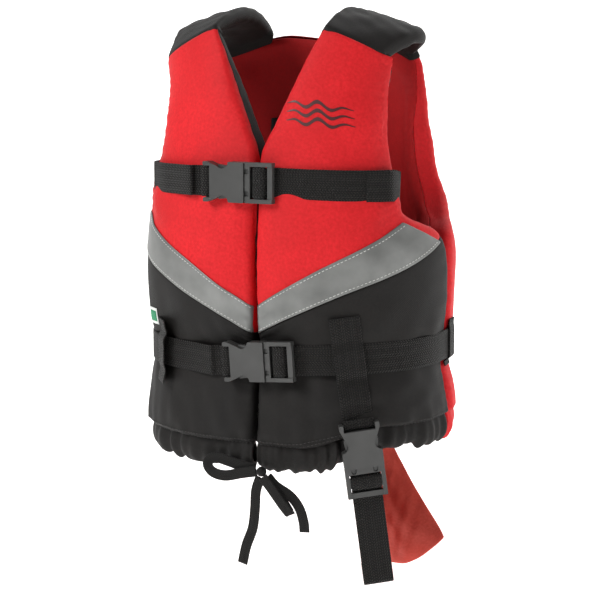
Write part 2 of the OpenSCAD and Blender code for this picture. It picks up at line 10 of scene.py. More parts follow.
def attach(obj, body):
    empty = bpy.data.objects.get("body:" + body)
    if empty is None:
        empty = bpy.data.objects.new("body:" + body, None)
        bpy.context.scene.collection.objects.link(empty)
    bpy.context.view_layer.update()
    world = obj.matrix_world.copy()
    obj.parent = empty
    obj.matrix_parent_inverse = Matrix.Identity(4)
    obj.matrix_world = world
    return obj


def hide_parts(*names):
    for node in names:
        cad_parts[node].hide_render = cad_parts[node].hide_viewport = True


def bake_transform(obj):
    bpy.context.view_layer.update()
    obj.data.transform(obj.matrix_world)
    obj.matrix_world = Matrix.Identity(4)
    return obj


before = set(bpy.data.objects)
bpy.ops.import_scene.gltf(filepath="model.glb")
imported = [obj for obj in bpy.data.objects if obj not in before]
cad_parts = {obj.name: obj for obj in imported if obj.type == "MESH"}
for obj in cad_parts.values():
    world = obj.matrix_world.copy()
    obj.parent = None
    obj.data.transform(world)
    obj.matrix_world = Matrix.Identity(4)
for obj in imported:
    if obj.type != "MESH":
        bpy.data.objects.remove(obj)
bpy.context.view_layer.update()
MM = 0.001

# ---------------------------------------------------------------- sizes, as in the CAD
HALF_W, HALF_D, FRONT_THICK, BACK_THICK = 134.0, 93.0, 33.0, 28.0
CORNER = 2.3  # how square the vest is, seen from above
SHEET_T = 0.0008  # thickness of the cloth, in metres
WEB_W, WEB_T, TAPE_W, TAPE_T = 25.0, 1.4, 9.0, 1.2
WALL_BOTTOM, HEM_MID, SEAM_PHI = -359.0, -366.9, 92.0
CHEST_AT, WAIST_AT, CROTCH_AT = (-5, -91, -140), (14, -93.5, -286), (92, -76, -370)
WAIST_ROLL, CROTCH_YAW, CROTCH_ROLL = 4.0, 29.0, -82.3


def smooth(table):
    """A curve with no corners through [height, value] pairs."""
    xs, ys = np.array(table, float).T
    slopes = np.gradient(ys, xs)

    def at(x):
        x = np.clip(x, xs[0], xs[-1])
        i = np.clip(np.searchsorted(xs, x, side="right") - 1, 0, len(xs) - 2)
        h = xs[i + 1] - xs[i]
        t = (x - xs[i]) / h
        ends = (1 + 2 * t) * (1 - t) ** 2 * ys[i] + t * t * (3 - 2 * t) * ys[i + 1]
        return ends + t * (1 - t) * h * ((1 - t) * slopes[i] - t * slopes[i + 1])

    return at


width_at = smooth([[-380, 0], [-350, 1], [-320, -1], [-290, -4], [-255, -1], [-200, 0], [-165, -6],
                   [-130, -14], [-90, -19], [-50, -22], [-10, -22]])
front_at = smooth([[-380, -1], [-350, 1], [-320, -1], [-290, -3], [-255, 0], [-200, 2], [-165, -1],
                   [-118, -9], [-80, -16], [-45, -24], [-10, -32]])
back_at = smooth([[-380, 0], [-350, 2], [-320, 0], [-290, -3], [-255, 0], [-200, 3], [-150, 2], [-100, -3],
                  [-60, -11], [-20, -25], [-10, -33]])
drop_at = smooth([[-200, 0], [-160, 0], [-90, 9], [-50, 19], [-10, 30]])
lean_at = smooth([[-200, 0], [-150, 0], [-60, 22], [-10, 45]])
thick_at = smooth([[-380, 0.8], [-340, 1], [-200, 1], [-120, 0.85], [-60, 0.55], [-30, 0.36], [-10, 0.25]])

# Panel rows from hem to shoulder: inner height, outer height, inner angle, outer angle.
FRONT_ROWS = [[-359, -359, 0.4, 92], [-340, -335, 0.4, 92], [-312, -300, 0.4, 92], [-290, -268, 0.4, 92],
              [-277, -230, 0.4, 91], [-265.2, -188.2, 0.4, 86.8], [-243, -170, 0.4, 68],
              [-215, -156, 0.4, 66],
              [-180, -140, 0.4, 65], [-145, -118, 0.4, 64], [-118, -97, 0.4, 63.5], [-95, -76, 7.2, 64.5],
              [-70, -54, 16, 67], [-40, -32, 27.5, 71], [-11, -11, 39.5, 76]]
SEAM_ROW = 5
BACK_ROWS = [[-359, -359, 180, 92.4], [-340, -335, 180, 92.4], [-312, -300, 180, 92.4],
             [-290, -268, 180, 92.4],
             [-262, -230, 180, 92.4], [-230, -190, 180, 93], [-205, -172, 180, 102], [-175, -150, 180, 110],
             [-145, -120, 180, 113], [-110, -90, 180, 114], [-75, -58, 180, 114.5], [-45, -32, 180, 115],
             [-22, -11, 180, 115]]


def unit(v):
    v = np.asarray(v, float)
    return v / np.maximum(np.linalg.norm(v, axis=-1, keepdims=True), 1e-9)


def mix(a, b, t):
    return a + (b - a) * t


def deep(phi, s):
    """Thickness of the padding at an angle and height."""
    return np.where(np.cos(np.radians(phi)) < 0, BACK_THICK, FRONT_THICK) * thick_at(s)


def ridden_up(points):
    """The gathered hem rides up towards the wearer's left side seam."""
    points = np.array(points, float)
    up = np.clip((-297 - points[..., 2]) / 66, 0, 1)
    side = np.clip((points[..., 0] - 42) / 66, 0, 1)
    points[..., 2] += 20 * up * up * (3 - 2 * up) * side * side * (3 - 2 * side)
    return points


def skin(phi, s, d):
    """Point on the vest as it hangs: plain_skin with the hem's rise."""
    return ridden_up(plain_skin(phi, s, d))


def plain_skin(phi, s, d):
    """Point on the vest: phi degrees from the front to the wearer's left, s up, d below the fabric."""
    phi, s, d = np.broadcast_arrays(np.asarray(phi, float), np.asarray(s, float), np.asarray(d, float))
    sn, cs = np.sin(np.radians(phi)), np.cos(np.radians(phi))
    lean = np.radians(lean_at(s))
    a = HALF_W + width_at(s) - d * np.cos(lean)
    b = HALF_D + np.where(cs < 0, back_at(s), front_at(s)) - d * np.cos(lean)
    r = ((np.abs(sn) / a) ** CORNER + (np.abs(cs) / b) ** CORNER) ** (-1 / CORNER)
    x = r * sn
    t = (np.abs(x) - 40) / 65
    slope = np.minimum(1.1, 0.5 * (t + np.sqrt(t * t + 0.01)))
    return np.stack([x, -r * cs, s - drop_at(s) * slope - d * np.sin(lean)], -1)


def ripple(x, y, seed, scale=1.0):
    """Soft uneven waves from a few crossed sines, about -1 to 1."""
    rng = np.random.default_rng(seed)
    total = 0
    for k in range(7):
        ang, f, ph = rng.uniform(0, math.pi), rng.uniform(0.6, 1.7) / scale, rng.uniform(0, 7)
        total = total + np.sin(2 * math.pi * f * (x * math.cos(ang) + y * math.sin(ang)) + ph)
    return total / 3.5


# ---------------------------------------------------------------- mesh helpers
def add_mesh(name, points, faces, uvs=None, material=None):
    """A mesh object from points in millimetres. uvs gives each point's place on the flat cloth, in metres."""
    mesh = bpy.data.meshes.new(name)
    mesh.from_pydata([tuple(p) for p in np.asarray(points) * MM], [], [tuple(f) for f in faces])
    mesh.validate()
    if uvs is not None:
        layer = mesh.uv_layers.new(name="cloth")
        index = np.empty(len(mesh.loops), int)
        mesh.loops.foreach_get("vertex_index", index)
        layer.data.foreach_set("uv", np.asarray(uvs, np.float32)[index].ravel())
    mesh.polygons.foreach_set("use_smooth", [True] * len(mesh.polygons))
    obj = bpy.data.objects.new(name, mesh)
    bpy.context.scene.collection.objects.link(obj)
    if material:
        mesh.materials.append(material)
    return obj


def grid_faces(rows, cols, closed=False, flip=False):
    faces = []
    for i in range(rows - 1):
        for j in range(cols if closed else cols - 1):
            k = (j + 1) % cols
            f = (i * cols + j, i * cols + k, (i + 1) * cols + k, (i + 1) * cols + j)
            faces.append(f[::-1] if flip else f)
    return faces


def modify(obj, kind, **settings):
    m = obj.modifiers.new("fit", kind)
    for key, value in settings.items():
        setattr(m, key, value)
    return m


def sheeted(obj, thick=SHEET_T, offset=-1.0):
    """Gives a surface the thickness of cloth, in metres, and rounds its facets."""
    modify(obj, "SOLIDIFY", thickness=thick, offset=offset)
    modify(obj, "SUBSURF", levels=1, render_levels=1)


def spline(points, step):
    """Catmull-Rom line through the points, resampled at about that step."""
    p = np.asarray(points, float)
    p = np.vstack([2 * p[0] - p[1], p, 2 * p[-1] - p[-2]])
    fine = []
    for i in range(1, len(p) - 2):
        t = np.linspace(0, 1, 24, endpoint=i == len(p) - 3)[:, None]
        a, b, c, d = p[i - 1 : i + 3]
        bow, twist = 2 * a - 5 * b + 4 * c - d, 3 * b - a - 3 * c + d
        fine.append(0.5 * (2 * b + (c - a) * t + bow * t * t + twist * t**3))
    return resample(np.vstack(fine), step)


def resample(line, step):
    run = np.r_[0, np.cumsum(np.linalg.norm(np.diff(line[:, :3], axis=0), axis=1))]
    count = max(2, int(round(run[-1] / step)) + 1)
    at = np.linspace(0, run[-1], count)
    return np.stack([np.interp(at, run, line[:, k]) for k in range(line.shape[1])], 1)


# ---------------------------------------------------------------- materials
def linear(code):
    """Linear colour from an sRGB hex code."""
    out = []
    for k in (0, 2, 4):
        c = int(code[k : k + 2], 16) / 255
        out.append(c / 12.92 if c <= 0.04045 else ((c + 0.055) / 1.055) ** 2.4)
    return (*out, 1.0)


def node(tree, kind, links=(), **settings):
    """Adds a node, sets its properties and inputs, and links inputs: {input: (node, output)}."""
    n = tree.nodes.new("ShaderNode" + kind)
    for key, value in settings.items():
        if hasattr(n, key):
            setattr(n, key, value)
        else:
            n.inputs[key.replace("_", " ")].default_value = value
    for name, (source, output) in dict(links).items():
        tree.links.new(source.outputs[output], n.inputs[name])
    return n


def new_material(name, base, rough, metallic=0.0):
    mat = bpy.data.materials.new(name)
    mat.use_nodes = True
    tree = mat.node_tree
    shader = tree.nodes["Principled BSDF"]
    shader.inputs["Base Color"].default_value = linear(base)
    shader.inputs["Roughness"].default_value = rough
    shader.inputs["Metallic"].default_value = metallic
    shader.inputs["IOR"].default_value = 1.5
    return mat, tree, shader


def math_node(tree, operation, source, output, number):
    """A sum on one output and one number."""
    n = node(tree, "Math", {0: (source, output)}, operation=operation)
    n.inputs[1].default_value = number
    return n


def sine(tree, source):
    return node(tree, "Math", {0: (source, 0)}, operation="SINE")


def noise(tree, place, **settings):
    return node(tree, "TexNoise", {"Vector": (place, "Object")}, **settings)


def tinted(tree, shader, source, output, *stops):
    """Base colour from (place, colour) at two stops of a value."""
    n = node(tree, "ValToRGB", {"Fac": (source, output)})
    for element, (at, code) in zip(n.color_ramp.elements, stops):
        element.position, element.color = at, linear(code)
    tree.links.new(n.outputs["Color"], shader.inputs["Base Color"])


def roughened(tree, shader, source, low, high):
    n = node(tree, "MapRange", {"Value": (source, "Fac")})
    n.inputs["To Min"].default_value, n.inputs["To Max"].default_value = low, high
    tree.links.new(n.outputs["Result"], shader.inputs["Roughness"])


def bumped(tree, shader, source, output, strength, distance):
    n = node(tree, "Bump", {"Height": (source, output)}, Strength=strength, Distance=distance)
    tree.links.new(n.outputs["Normal"], shader.inputs["Normal"])


def lustre(shader, specular, sheen, spread):
    """The hollows between threads keep part of the light, so cloth shines less than a smooth sheet."""
    shader.inputs["Specular IOR Level"].default_value = specular
    shader.inputs["Sheen Weight"].default_value = sheen
    shader.inputs["Sheen Roughness"].default_value = spread


def woven_cloth(name, dark, light, rough, pitch, relief, sheen):
    """Coated plain-weave nylon. The real weave is about 0.4 mm. It is drawn at pitch, to be seen."""
    mat, tree, shader = new_material(name, light, rough)
    uv = node(tree, "UVMap", uv_map="cloth")
    parts = node(tree, "SeparateXYZ", {"Vector": (uv, "UV")})
    turns = 2 * math.pi / (pitch * MM)
    threads = [sine(tree, math_node(tree, "MULTIPLY", parts, axis, turns)) for axis in ("X", "Y")]
    weave = node(tree, "Math", {0: (threads[0], 0), 1: (threads[1], 0)}, operation="MULTIPLY")
    # Broad shade changes, as coated cloth shows where it was creased and rubbed.
    place = node(tree, "TexCoord")
    broad = noise(tree, place, Scale=22.0, Detail=5.0, Roughness=0.55)
    fine = noise(tree, place, Scale=420.0, Detail=2.0)
    shade = node(tree, "Math", {0: (broad, "Fac"), 1: (fine, "Fac")}, operation="MULTIPLY_ADD")
    shade.inputs[2].default_value = 0.22
    tinted(tree, shader, shade, 0, (0.3, dark), (0.62, light))
    roughened(tree, shader, broad, rough - 0.07, rough + 0.09)
    height = node(tree, "Math", {0: (weave, 0), 1: (fine, "Fac")}, operation="ADD")
    bumped(tree, shader, height, 0, relief, 0.00016)
    lustre(shader, 0.26, sheen, 0.45)
    shader.inputs["Sheen Tint"].default_value = linear(light)
    return mat


def webbing_material(name, dark, light, rough, rib, relief):
    """Polypropylene webbing: yarns crossing in a herringbone, with a painted highlight that makes the raised
    yarns paler, over a fine random fleck.
    """
    mat, tree, shader = new_material(name, dark, rough)
    uv = node(tree, "UVMap", uv_map="cloth")
    parts = node(tree, "SeparateXYZ", {"Vector": (uv, "UV")})
    fold = math_node(tree, "PINGPONG", parts, "X", rib * MM * 1.5)
    slant = node(tree, "Math", {0: (fold, 0), 1: (parts, "Y")}, operation="ADD")
    yarn = sine(tree, math_node(tree, "MULTIPLY", slant, 0, 2 * math.pi / (rib * MM)))
    row = sine(tree, math_node(tree, "MULTIPLY", parts, "X", 2 * math.pi / (rib * 0.8 * MM)))
    both = node(tree, "Math", {0: (yarn, 0), 1: (row, 0)}, operation="MULTIPLY_ADD")
    tree.links.new(yarn.outputs[0], both.inputs[2])
    place = node(tree, "TexCoord")
    grain = noise(tree, place, Scale=900.0, Detail=3.0)
    # Painted highlight: the raised yarns get the paler base colour, broken up by a random fleck.
    highlight_and_fleck = node(tree, "Math", {0: (both, 0), 1: (grain, "Fac")}, operation="MULTIPLY")
    tinted(tree, shader, highlight_and_fleck, 0, (0.05, dark), (0.95, light))
    bumped(tree, shader, both, 0, relief, 0.0005)
    lustre(shader, 0.24, 0.06, 0.4)
    return mat


def grained(name, base, high, rough, scale, relief, depth):
    """Moulded plastic, foam, thread or print: a small grain over slow colour change."""
    mat, tree, shader = new_material(name, base, rough)
    place = node(tree, "TexCoord")
    grain = noise(tree, place, Scale=scale, Detail=4.0)
    slow = noise(tree, place, Scale=scale / 24, Detail=2.0)
    tinted(tree, shader, slow, "Fac", (0.35, base), (0.68, high))
    roughened(tree, shader, grain, rough - 0.08, rough + 0.08)
    bumped(tree, shader, grain, "Fac", relief, depth)
    return mat


def retroreflective(name):
    """Glass-bead reflective tape: mid grey cloth with a fine glittering grain and a soft metallic lustre."""
    mat, tree, shader = new_material(name, "8A8B89", 0.42, 0.35)
    place = node(tree, "TexCoord")
    beads = node(tree, "TexVoronoi", {"Vector": (place, "Object")}, Scale=1500.0)
    slow = noise(tree, place, Scale=40.0, Detail=3.0)
    tinted(tree, shader, slow, "Fac", (0.3, "686967"), (0.7, "7D7E7C"))
    bumped(tree, shader, beads, "Distance", 0.25, 0.0001)
    return mat


RED = woven_cloth("red_coated_nylon", "B80D13", "D21A21", 0.66, 1.3, 0.35, 0.06)
# The back lining is red cloth. Its red is darker than the cover's: painted shade of the vest's inside.
SHADED_RED_LINING = woven_cloth("red_nylon_lining_painted_shade", "95070B", "A80C10", 0.75, 1.3, 0.3, 0.0)
BLACK = woven_cloth("black_coated_nylon", "0D0B0A", "151210", 0.64, 1.3, 0.35, 0.03)
# The flap's red is paler than the cover's. Part of that is its own pinker colour, and part is painted light
# that makes up for the shadow the vest casts on it.
LIT_FLAP_RED = woven_cloth("red_soft_nylon_painted_light", "DC5548", "EC6658", 0.6, 1.3, 0.3, 0.1)
WEBBING = webbing_material("polypropylene_webbing", "060505", "2A251E", 0.66, 2.4, 0.9)
TAPE_CORD = webbing_material("woven_drawstring_tape", "0C0B0A", "211D19", 0.66, 1.6, 0.6)
ACETAL = grained("moulded_acetal", "333332", "3E3E3D", 0.4, 900.0, 0.18, 0.00008)
ACETAL_LATCH = grained("moulded_acetal_latch", "323231", "3B3B3A", 0.36, 900.0, 0.18, 0.00008)
FOAM = grained("closed_cell_foam", "D8D4CA", "E4E1D8", 0.85, 700.0, 0.5, 0.0003)
REFLECTIVE = retroreflective("retroreflective_tape")
PALE_THREAD = grained("pale_polyester_thread", "B9B9B5", "CFCFCB", 0.6, 2000.0, 0.3, 0.00005)
BLACK_THREAD = grained("black_polyester_thread", "1A1817", "2A2725", 0.55, 2000.0, 0.3, 0.00005)
DARK_PRINT = grained("dark_screen_print", "3F1416", "4A181A", 0.5, 500.0, 0.1, 0.00004)
GREEN_TAG = grained("green_woven_label", "1E7A52", "2B8A60", 0.7, 1200.0, 0.4, 0.0001)
WHITE_TAG = grained("white_woven_label", "D9DDD8", "E8EAE6", 0.7, 1200.0, 0.4, 0.0001)


# ---------------------------------------------------------------- padded panels
def fine_rows(rows, step):
    """The table's rows at about that step in height, and each fine row's place in the table."""
    rows = np.array(rows, float)
    count = np.maximum(2, np.ceil(np.abs(np.diff(rows[:, :2], axis=0)).max(1) / step)).astype(int)
    place = np.concatenate([k + np.arange(n) / n for k, n in enumerate(count)] + [[len(rows) - 1]])
    curves = [smooth(np.stack([np.arange(len(rows)), rows[:, k]], 1)) for k in range(4)]
    return place, np.stack([c(place) for c in curves], 1)


def padded_form(rows, across, step, faces, splits, rolls, ends, inset=0.0, puff=2.0, fold=None, swell=(0, 0)):
    """Outer and inner halves of a padded panel, in millimetres: two grids that share their edges.
    across(row values, u) gives angle and height; splits are the shares of the thickness where outer cloth
    meets lining, at the first edge and the last; rolls are the edge radii outside and inside; ends are the
    roundings at hem and shoulder; swell is how far the walls stand out at the two edges."""
    place, values = fine_rows(rows, step)
    n = len(place)
    probe = np.linspace(0, 1, 40)
    phi, s = across(values[:, None, :], probe[None, :])
    line = plain_skin(phi, s, 0)
    width = np.linalg.norm(np.diff(line, axis=1), axis=2).sum(1)
    middle = line[:, 20]
    run = np.r_[0, np.cumsum(np.linalg.norm(np.diff(middle, axis=0), axis=1))]
    thick = deep(phi[:, 20], s[:, 20])
    bend = np.radians(np.linspace(0, 90, 6))
    halves = []
    for outer in (True, False):
        r = np.minimum(rolls[0 if outer else 1], 0.42 * thick)[:, None]
        face_d = 0 * thick[:, None] if outer else thick[:, None]
        sign = 1 if outer else -1
        radii, walls, corners = [], [], []
        for split in splits:
            mid = (split * thick)[:, None]
            own = np.minimum(r, 0.9 * np.abs(mid - face_d))
            radii.append(own)
            walls.append(mix(mid, face_d + sign * own, np.linspace(0, 1, 5)[None, :-1]))
            corners.append((own * (1 - np.cos(bend)), face_d + sign * own * (1 - np.sin(bend))))
        flat_e = mix(radii[0], width[:, None] - radii[1], np.linspace(0, 1, faces)[None, 1:-1])
        e = np.concatenate([0 * walls[0], corners[0][0], flat_e, width[:, None] - corners[1][0][:, ::-1],
                            width[:, None] + 0 * walls[1]], 1)
        d = np.concatenate([walls[0], corners[0][1], 0 * flat_e + face_d, corners[1][1][:, ::-1],
                            walls[1][:, ::-1]], 1)
        u = e / width[:, None]
        flat = 4 * u * (1 - u)
        for_end = np.zeros((n, 1))
        for dist, radius in ((run, ends[0]), (run[-1] - run, ends[1])):
            q = np.clip(1 - dist / radius, 0, 1)[:, None]
            for_end = for_end + radius * (1 - np.sqrt(1 - q * q))
        for_end = np.minimum(for_end, 0.38 * thick[:, None])
        if inset:
            # The halves of the inner block may not cross where the panel is thin.
            for_end = np.clip(for_end, 0, 0.5 * thick[:, None] - inset - 1.5)
        x = (u - 0.5) * width[:, None]
        y = run[:, None] + 0 * x
        lift = puff * flat**0.7
        if fold is not None:
            lift = lift + fold(across(values[:, None, :], u), x, y, u, outer)
        d = d + sign * (for_end + inset - lift * (1 - for_end / (0.38 * thick[:, None] + 0.01)))
        e_in = np.clip(e, inset, width[:, None] - inset)
        through = np.sin(np.pi * np.clip(d / thick[:, None], 0, 1) ** 0.55)
        e_in = e_in - swell[0] * through * (u < 0.02) + swell[1] * through * (u > 0.98)
        phi2, s2 = across(values[:, None, :], e_in / width[:, None])
        side = np.where(u < 0.5, -1, 1) * (np.abs(d - face_d) * 0.9)
        uv = np.stack([(x + side) * MM, y * MM + 0 * x], -1)
        halves.append((plain_skin(phi2, s2, d), uv))
    # The two halves meet along the split line.
    for edge in (0, -1):
        both = (halves[0][0][:, edge] + halves[1][0][:, edge]) / 2
        halves[0][0][:, edge] = halves[1][0][:, edge] = both
    return place, halves


def front_across(row, u):
    return mix(row[..., 2], row[..., 3], u), mix(row[..., 0], row[..., 1], u)


def back_across(row, u):
    w = 2 * u - 1
    return mix(row[..., 3], 360 - row[..., 3], u), mix(row[..., 0], row[..., 1], np.abs(w) ** 1.5)


def edge_pucker(u, y, width, seed):
    """Short gathers that stand across a sewn edge."""
    near = np.minimum(u, 1 - u) * width
    wave = np.sin(2 * math.pi * y / 11.0 + 1.7 * ripple(y, 0 * y, seed, 40))
    return 0.55 * wave * np.exp(-near / 9.0)


BELT_S = -287.0


def front_fold(seed):
    def fold(at, x, y, u, outer):
        phi, s = at
        if not outer:
            return 0.7 * ripple(x, y, seed + 50, 60) + edge_pucker(u, y, 180, seed + 9)
        low = np.clip((-200 - s) / 60, 0, 1)
        lift = 0.8 * ripple(x, y, seed, 75) + edge_pucker(u, y, 180, seed)
        # The belt draws the padding in, and the cloth gathers above and below it.
        lift = lift - 2.6 * np.exp(-(((s - BELT_S) / 15.0) ** 2))
        pleat = ripple(x, 0.25 * y, seed + 3, 26)
        lift = lift + 1.1 * pleat * np.exp(-(((s - BELT_S) / 34.0) ** 2))
        # The drawstring gathers the hem into upright folds.
        lift = lift + 1.9 * ripple(x, 0.12 * y, seed + 5, 17) * np.exp(-(s + 359) / 16.0)
        lift = lift + 0.7 * low * ripple(x, y, seed + 7, 38)
        return lift

    return fold


def back_fold(at, x, y, u, outer):
    phi, s = at
    lift = 0.9 * ripple(x, y, 31 if outer else 37, 70) + edge_pucker(u, y, 300, 33)
    if outer:
        lift = lift - 2.4 * np.exp(-(((s - BELT_S + 3) / 15.0) ** 2))
        lift = lift + 1.0 * ripple(x, 0.25 * y, 34, 28) * np.exp(-(((s - BELT_S) / 34.0) ** 2))
    lift = lift + 1.6 * ripple(x, 0.12 * y, 35, 19) * np.exp(-(s + 359) / 16.0)
    return lift


FACES = 46
STEP = 3.6
SPLITS = (0.3, 0.1)
MOST_SETTLE = 1.6
# The wearer's left panel stands straighter at the top than the right one, which pulls outward.
LEFT_ROWS = [row[:] for row in FRONT_ROWS]
LEFT_ROWS[-1][3], LEFT_ROWS[-2][3], LEFT_ROWS[-3][3] = 68.0, 67.0, 65.5


def pulled_out(points):
    """The wearer's right shoulder, drawn outward a little from the chest up."""
    points = points.copy()
    t = np.clip((points[..., 2] + 205) / 60, 0, 1)
    points[..., 0] *= 1 + 0.085 * t * t * (3 - 2 * t)
    return points


def mirrored(points):
    return points * np.array([-1.0, 1.0, 1.0])


def right_half_out(points):
    """pulled_out for the wearer's right half only."""
    return np.where(points[..., :1] < 0, pulled_out(points), points)


def closed_parts(outer, inner):
    """Points and faces of the whole closed form made by the two halves."""
    n, m = outer.shape[:2]
    points = np.concatenate([outer.reshape(-1, 3), inner[:, 1:-1].reshape(-1, 3)])
    a = np.arange(n * m).reshape(n, m)
    b = np.concatenate([a[:, :1], n * m + np.arange(n * (m - 2)).reshape(n, m - 2), a[:, -1:]], 1)
    faces = []
    for i in range(n - 1):
        for j in range(m - 1):
            faces.append((a[i, j], a[i, j + 1], a[i + 1, j + 1], a[i + 1, j]))
            faces.append((b[i, j], b[i + 1, j], b[i + 1, j + 1], b[i, j + 1]))
    for i, turn in ((0, False), (n - 1, True)):
        for j in range(m - 1):
            f = tuple(dict.fromkeys([a[i, j], b[i, j], b[i, j + 1], a[i, j + 1]]))
            faces.append(f[::-1] if turn else f)
    return points, faces


def settle(outer, inner, most):
    """Lets the closed form swell as cloth under a little pressure, each point moving at most so far."""
    points, faces = closed_parts(outer, inner)
    obj = add_mesh("settling", points, faces)
    cloth = modify(obj, "CLOTH")
    cloth.settings.quality = 6
    cloth.settings.mass = 0.25
    cloth.settings.tension_stiffness = cloth.settings.compression_stiffness = 12
    cloth.settings.shear_stiffness = 6
    cloth.settings.bending_stiffness = 4
    cloth.settings.use_pressure = True
    cloth.settings.uniform_pressure_force = 4
    cloth.settings.effector_weights.gravity = 0
    scene = bpy.context.scene
    for f in range(1, 21):
        scene.frame_set(f)
    made = obj.evaluated_get(bpy.context.evaluated_depsgraph_get())
    moved = np.array([v.co for v in made.data.vertices]) / MM
    bpy.data.objects.remove(obj)
    scene.frame_set(1)
    shift = moved - points
    size = np.linalg.norm(shift, axis=1, keepdims=True)
    points = points + shift * np.minimum(1, most / np.maximum(size, 1e-6))
    n, m = outer.shape[:2]
    outer = points[: n * m].reshape(n, m, 3)
    body = points[n * m :].reshape(n, m - 2, 3)
    return outer, np.concatenate([outer[:, :1], body, outer[:, -1:]], 1)


def stuffed(obj, fill, *cad):
    """A padded piece of the vest's body that stands for the named CAD parts."""
    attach(obj, "vest")
    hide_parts(*cad)


def cloth_piece(name, grid, uv, material, turned, cad):
    """A sewn panel from a grid of points."""
    rows, cols = grid.shape[:2]
    faces = grid_faces(rows, cols, flip=turned)
    obj = add_mesh(name, grid.reshape(-1, 3), faces, uv.reshape(-1, 2), material)
    modify(obj, "SOLIDIFY", thickness=SHEET_T, offset=-1)
    modify(obj, "SUBSURF", levels=1, render_levels=1)
    stuffed(obj, 0.75, cad)


def tuck_row(points, toward, amount):
    """The points moved that far toward others, for a seam's edge."""
    return points + unit(toward - points) * amount


body_points, body_faces = [], []


def add_body(points, faces):
    start = sum(len(p) for p in body_points)
    body_points.append(points)
    body_faces.extend(tuple(i + start for i in f) for f in faces)


place, (front_out, front_in) = padded_form(LEFT_ROWS, front_across, STEP, FACES, SPLITS, (6.5, 5), (3, 0.6),
                                           fold=front_fold(1), swell=(0.4, 6.5))
_, (right_out, right_in) = padded_form(FRONT_ROWS, front_across, STEP, FACES, SPLITS, (6.5, 5), (3, 0.6),
                                       fold=front_fold(21), swell=(0.4, 6.5))
seam = int(np.argmin(np.abs(place - SEAM_ROW)))
for side, word, (outer, uv_out), (inner, uv_in) in (
    (1, "left", front_out, front_in),
    (-1, "right", right_out, right_in),
):
    outer, inner = settle(outer, inner, MOST_SETTLE)
    flip = side < 0
    if flip:
        outer, inner = pulled_out(mirrored(outer)), pulled_out(mirrored(inner))
    outer, inner = ridden_up(outer), ridden_up(inner)
    points, faces = closed_parts(outer, inner)
    add_body(points, [f[::-1] for f in faces] if flip else faces)
    lower = outer[: seam + 1].copy()
    upper = outer[seam:].copy()
    lower[-1] = tuck_row(lower[-1], inner[seam], 1.2)
    upper[0] = tuck_row(upper[0], inner[seam], 1.2)
    for part, grid, uv, mat, turned in (
        ("lower_cover", lower, uv_out[: seam + 1], BLACK, flip),
        ("upper_cover", upper, uv_out[seam:], RED, flip),
        ("lining", inner, uv_in, BLACK, not flip),
    ):
        cloth_piece(f"front_{word}_{part}_cloth", grid, uv, mat, turned, f"front_{word}_{part}")

back_place, ((back_out, back_uv), (back_in, back_in_uv)) = padded_form(
    BACK_ROWS, back_across, STEP, 2 * FACES, (0.65, 0.65), (7, 5), (3, 3), fold=back_fold)
back_out, back_in = settle(back_out, back_in, MOST_SETTLE)
back_out, back_in = ridden_up(right_half_out(back_out)), ridden_up(right_half_out(back_in))
points, faces = closed_parts(back_out, back_in)
add_body(points, faces)
cloth_piece("back_cover_cloth", back_out, back_uv, RED, False, "back_cover")
cloth_piece("back_lining_cloth", back_in, back_in_uv, SHADED_RED_LINING, True, "back_lining")

# Foam blocks inside the panels.
FOAM_STEP, FOAM_INSET = 9.0, 4.6
for word, rows, across, faces_n, flip in (
    ("front_left", LEFT_ROWS[:-1], front_across, 14, False),
    ("front_right", FRONT_ROWS[:-1], front_across, 14, True),
    ("back", BACK_ROWS[:-1], back_across, 26, False),
):
    _, ((outer, _), (inner, _)) = padded_form(rows, across, FOAM_STEP, faces_n, (0.5, 0.5), (11, 10), (16, 14),
                                              inset=FOAM_INSET, puff=0)
    if flip:
        outer, inner = pulled_out(mirrored(outer)), pulled_out(mirrored(inner))
    elif word == "back":
        outer, inner = right_half_out(outer), right_half_out(inner)
    outer, inner = ridden_up(outer), ridden_up(inner)
    points, faces = closed_parts(outer, inner)
    foam = add_mesh(f"{word}_foam_block", points, [f[::-1] for f in faces] if flip else faces, material=FOAM)
    modify(foam, "SUBSURF", levels=1, render_levels=1)
    stuffed(foam, 0.9, f"{word}_foam")


# ---------------------------------------------------------------- shoulder yokes
YOKE_W, YOKE_RUN, YOKE_TOP, YOKE_ARC = 66.0, 110.0, -10.4, 120.0


def yoke_point(u, v, d, front_outer):
    """Point of the yoke: u from the neck out to the arm, v from the front seam over to the back seam."""
    u, v, d = np.broadcast_arrays(np.asarray(u, float), np.asarray(v, float), np.asarray(d, float))
    front_phi, back_phi = mix(39.5, front_outer, u), mix(138, 115, u)
    below_front = skin(front_phi, YOKE_TOP + np.minimum(v, 0) * YOKE_ARC, d)
    below_back = skin(back_phi, YOKE_TOP - np.maximum(v - 1, 0) * YOKE_ARC, d)
    f, b = skin(front_phi, YOKE_TOP, 0), skin(back_phi, YOKE_TOP, 0)
    base = mix(f, b, v[..., None])
    arch = np.sin(np.clip(v, 0, 1) * math.pi)
    lean = np.radians(mix(48, -48, v))
    x = mix(base[..., 0], mix(45, 110, u), arch)
    z = mix(base[..., 2], mix(0.5, -19, u), arch**0.9)
    over = np.stack([x, base[..., 1] + np.sin(lean) * d, z - np.cos(lean) * d], -1)
    over = np.where(v[..., None] < 0, below_front, over)
    return np.where(v[..., None] > 1, below_back, over)


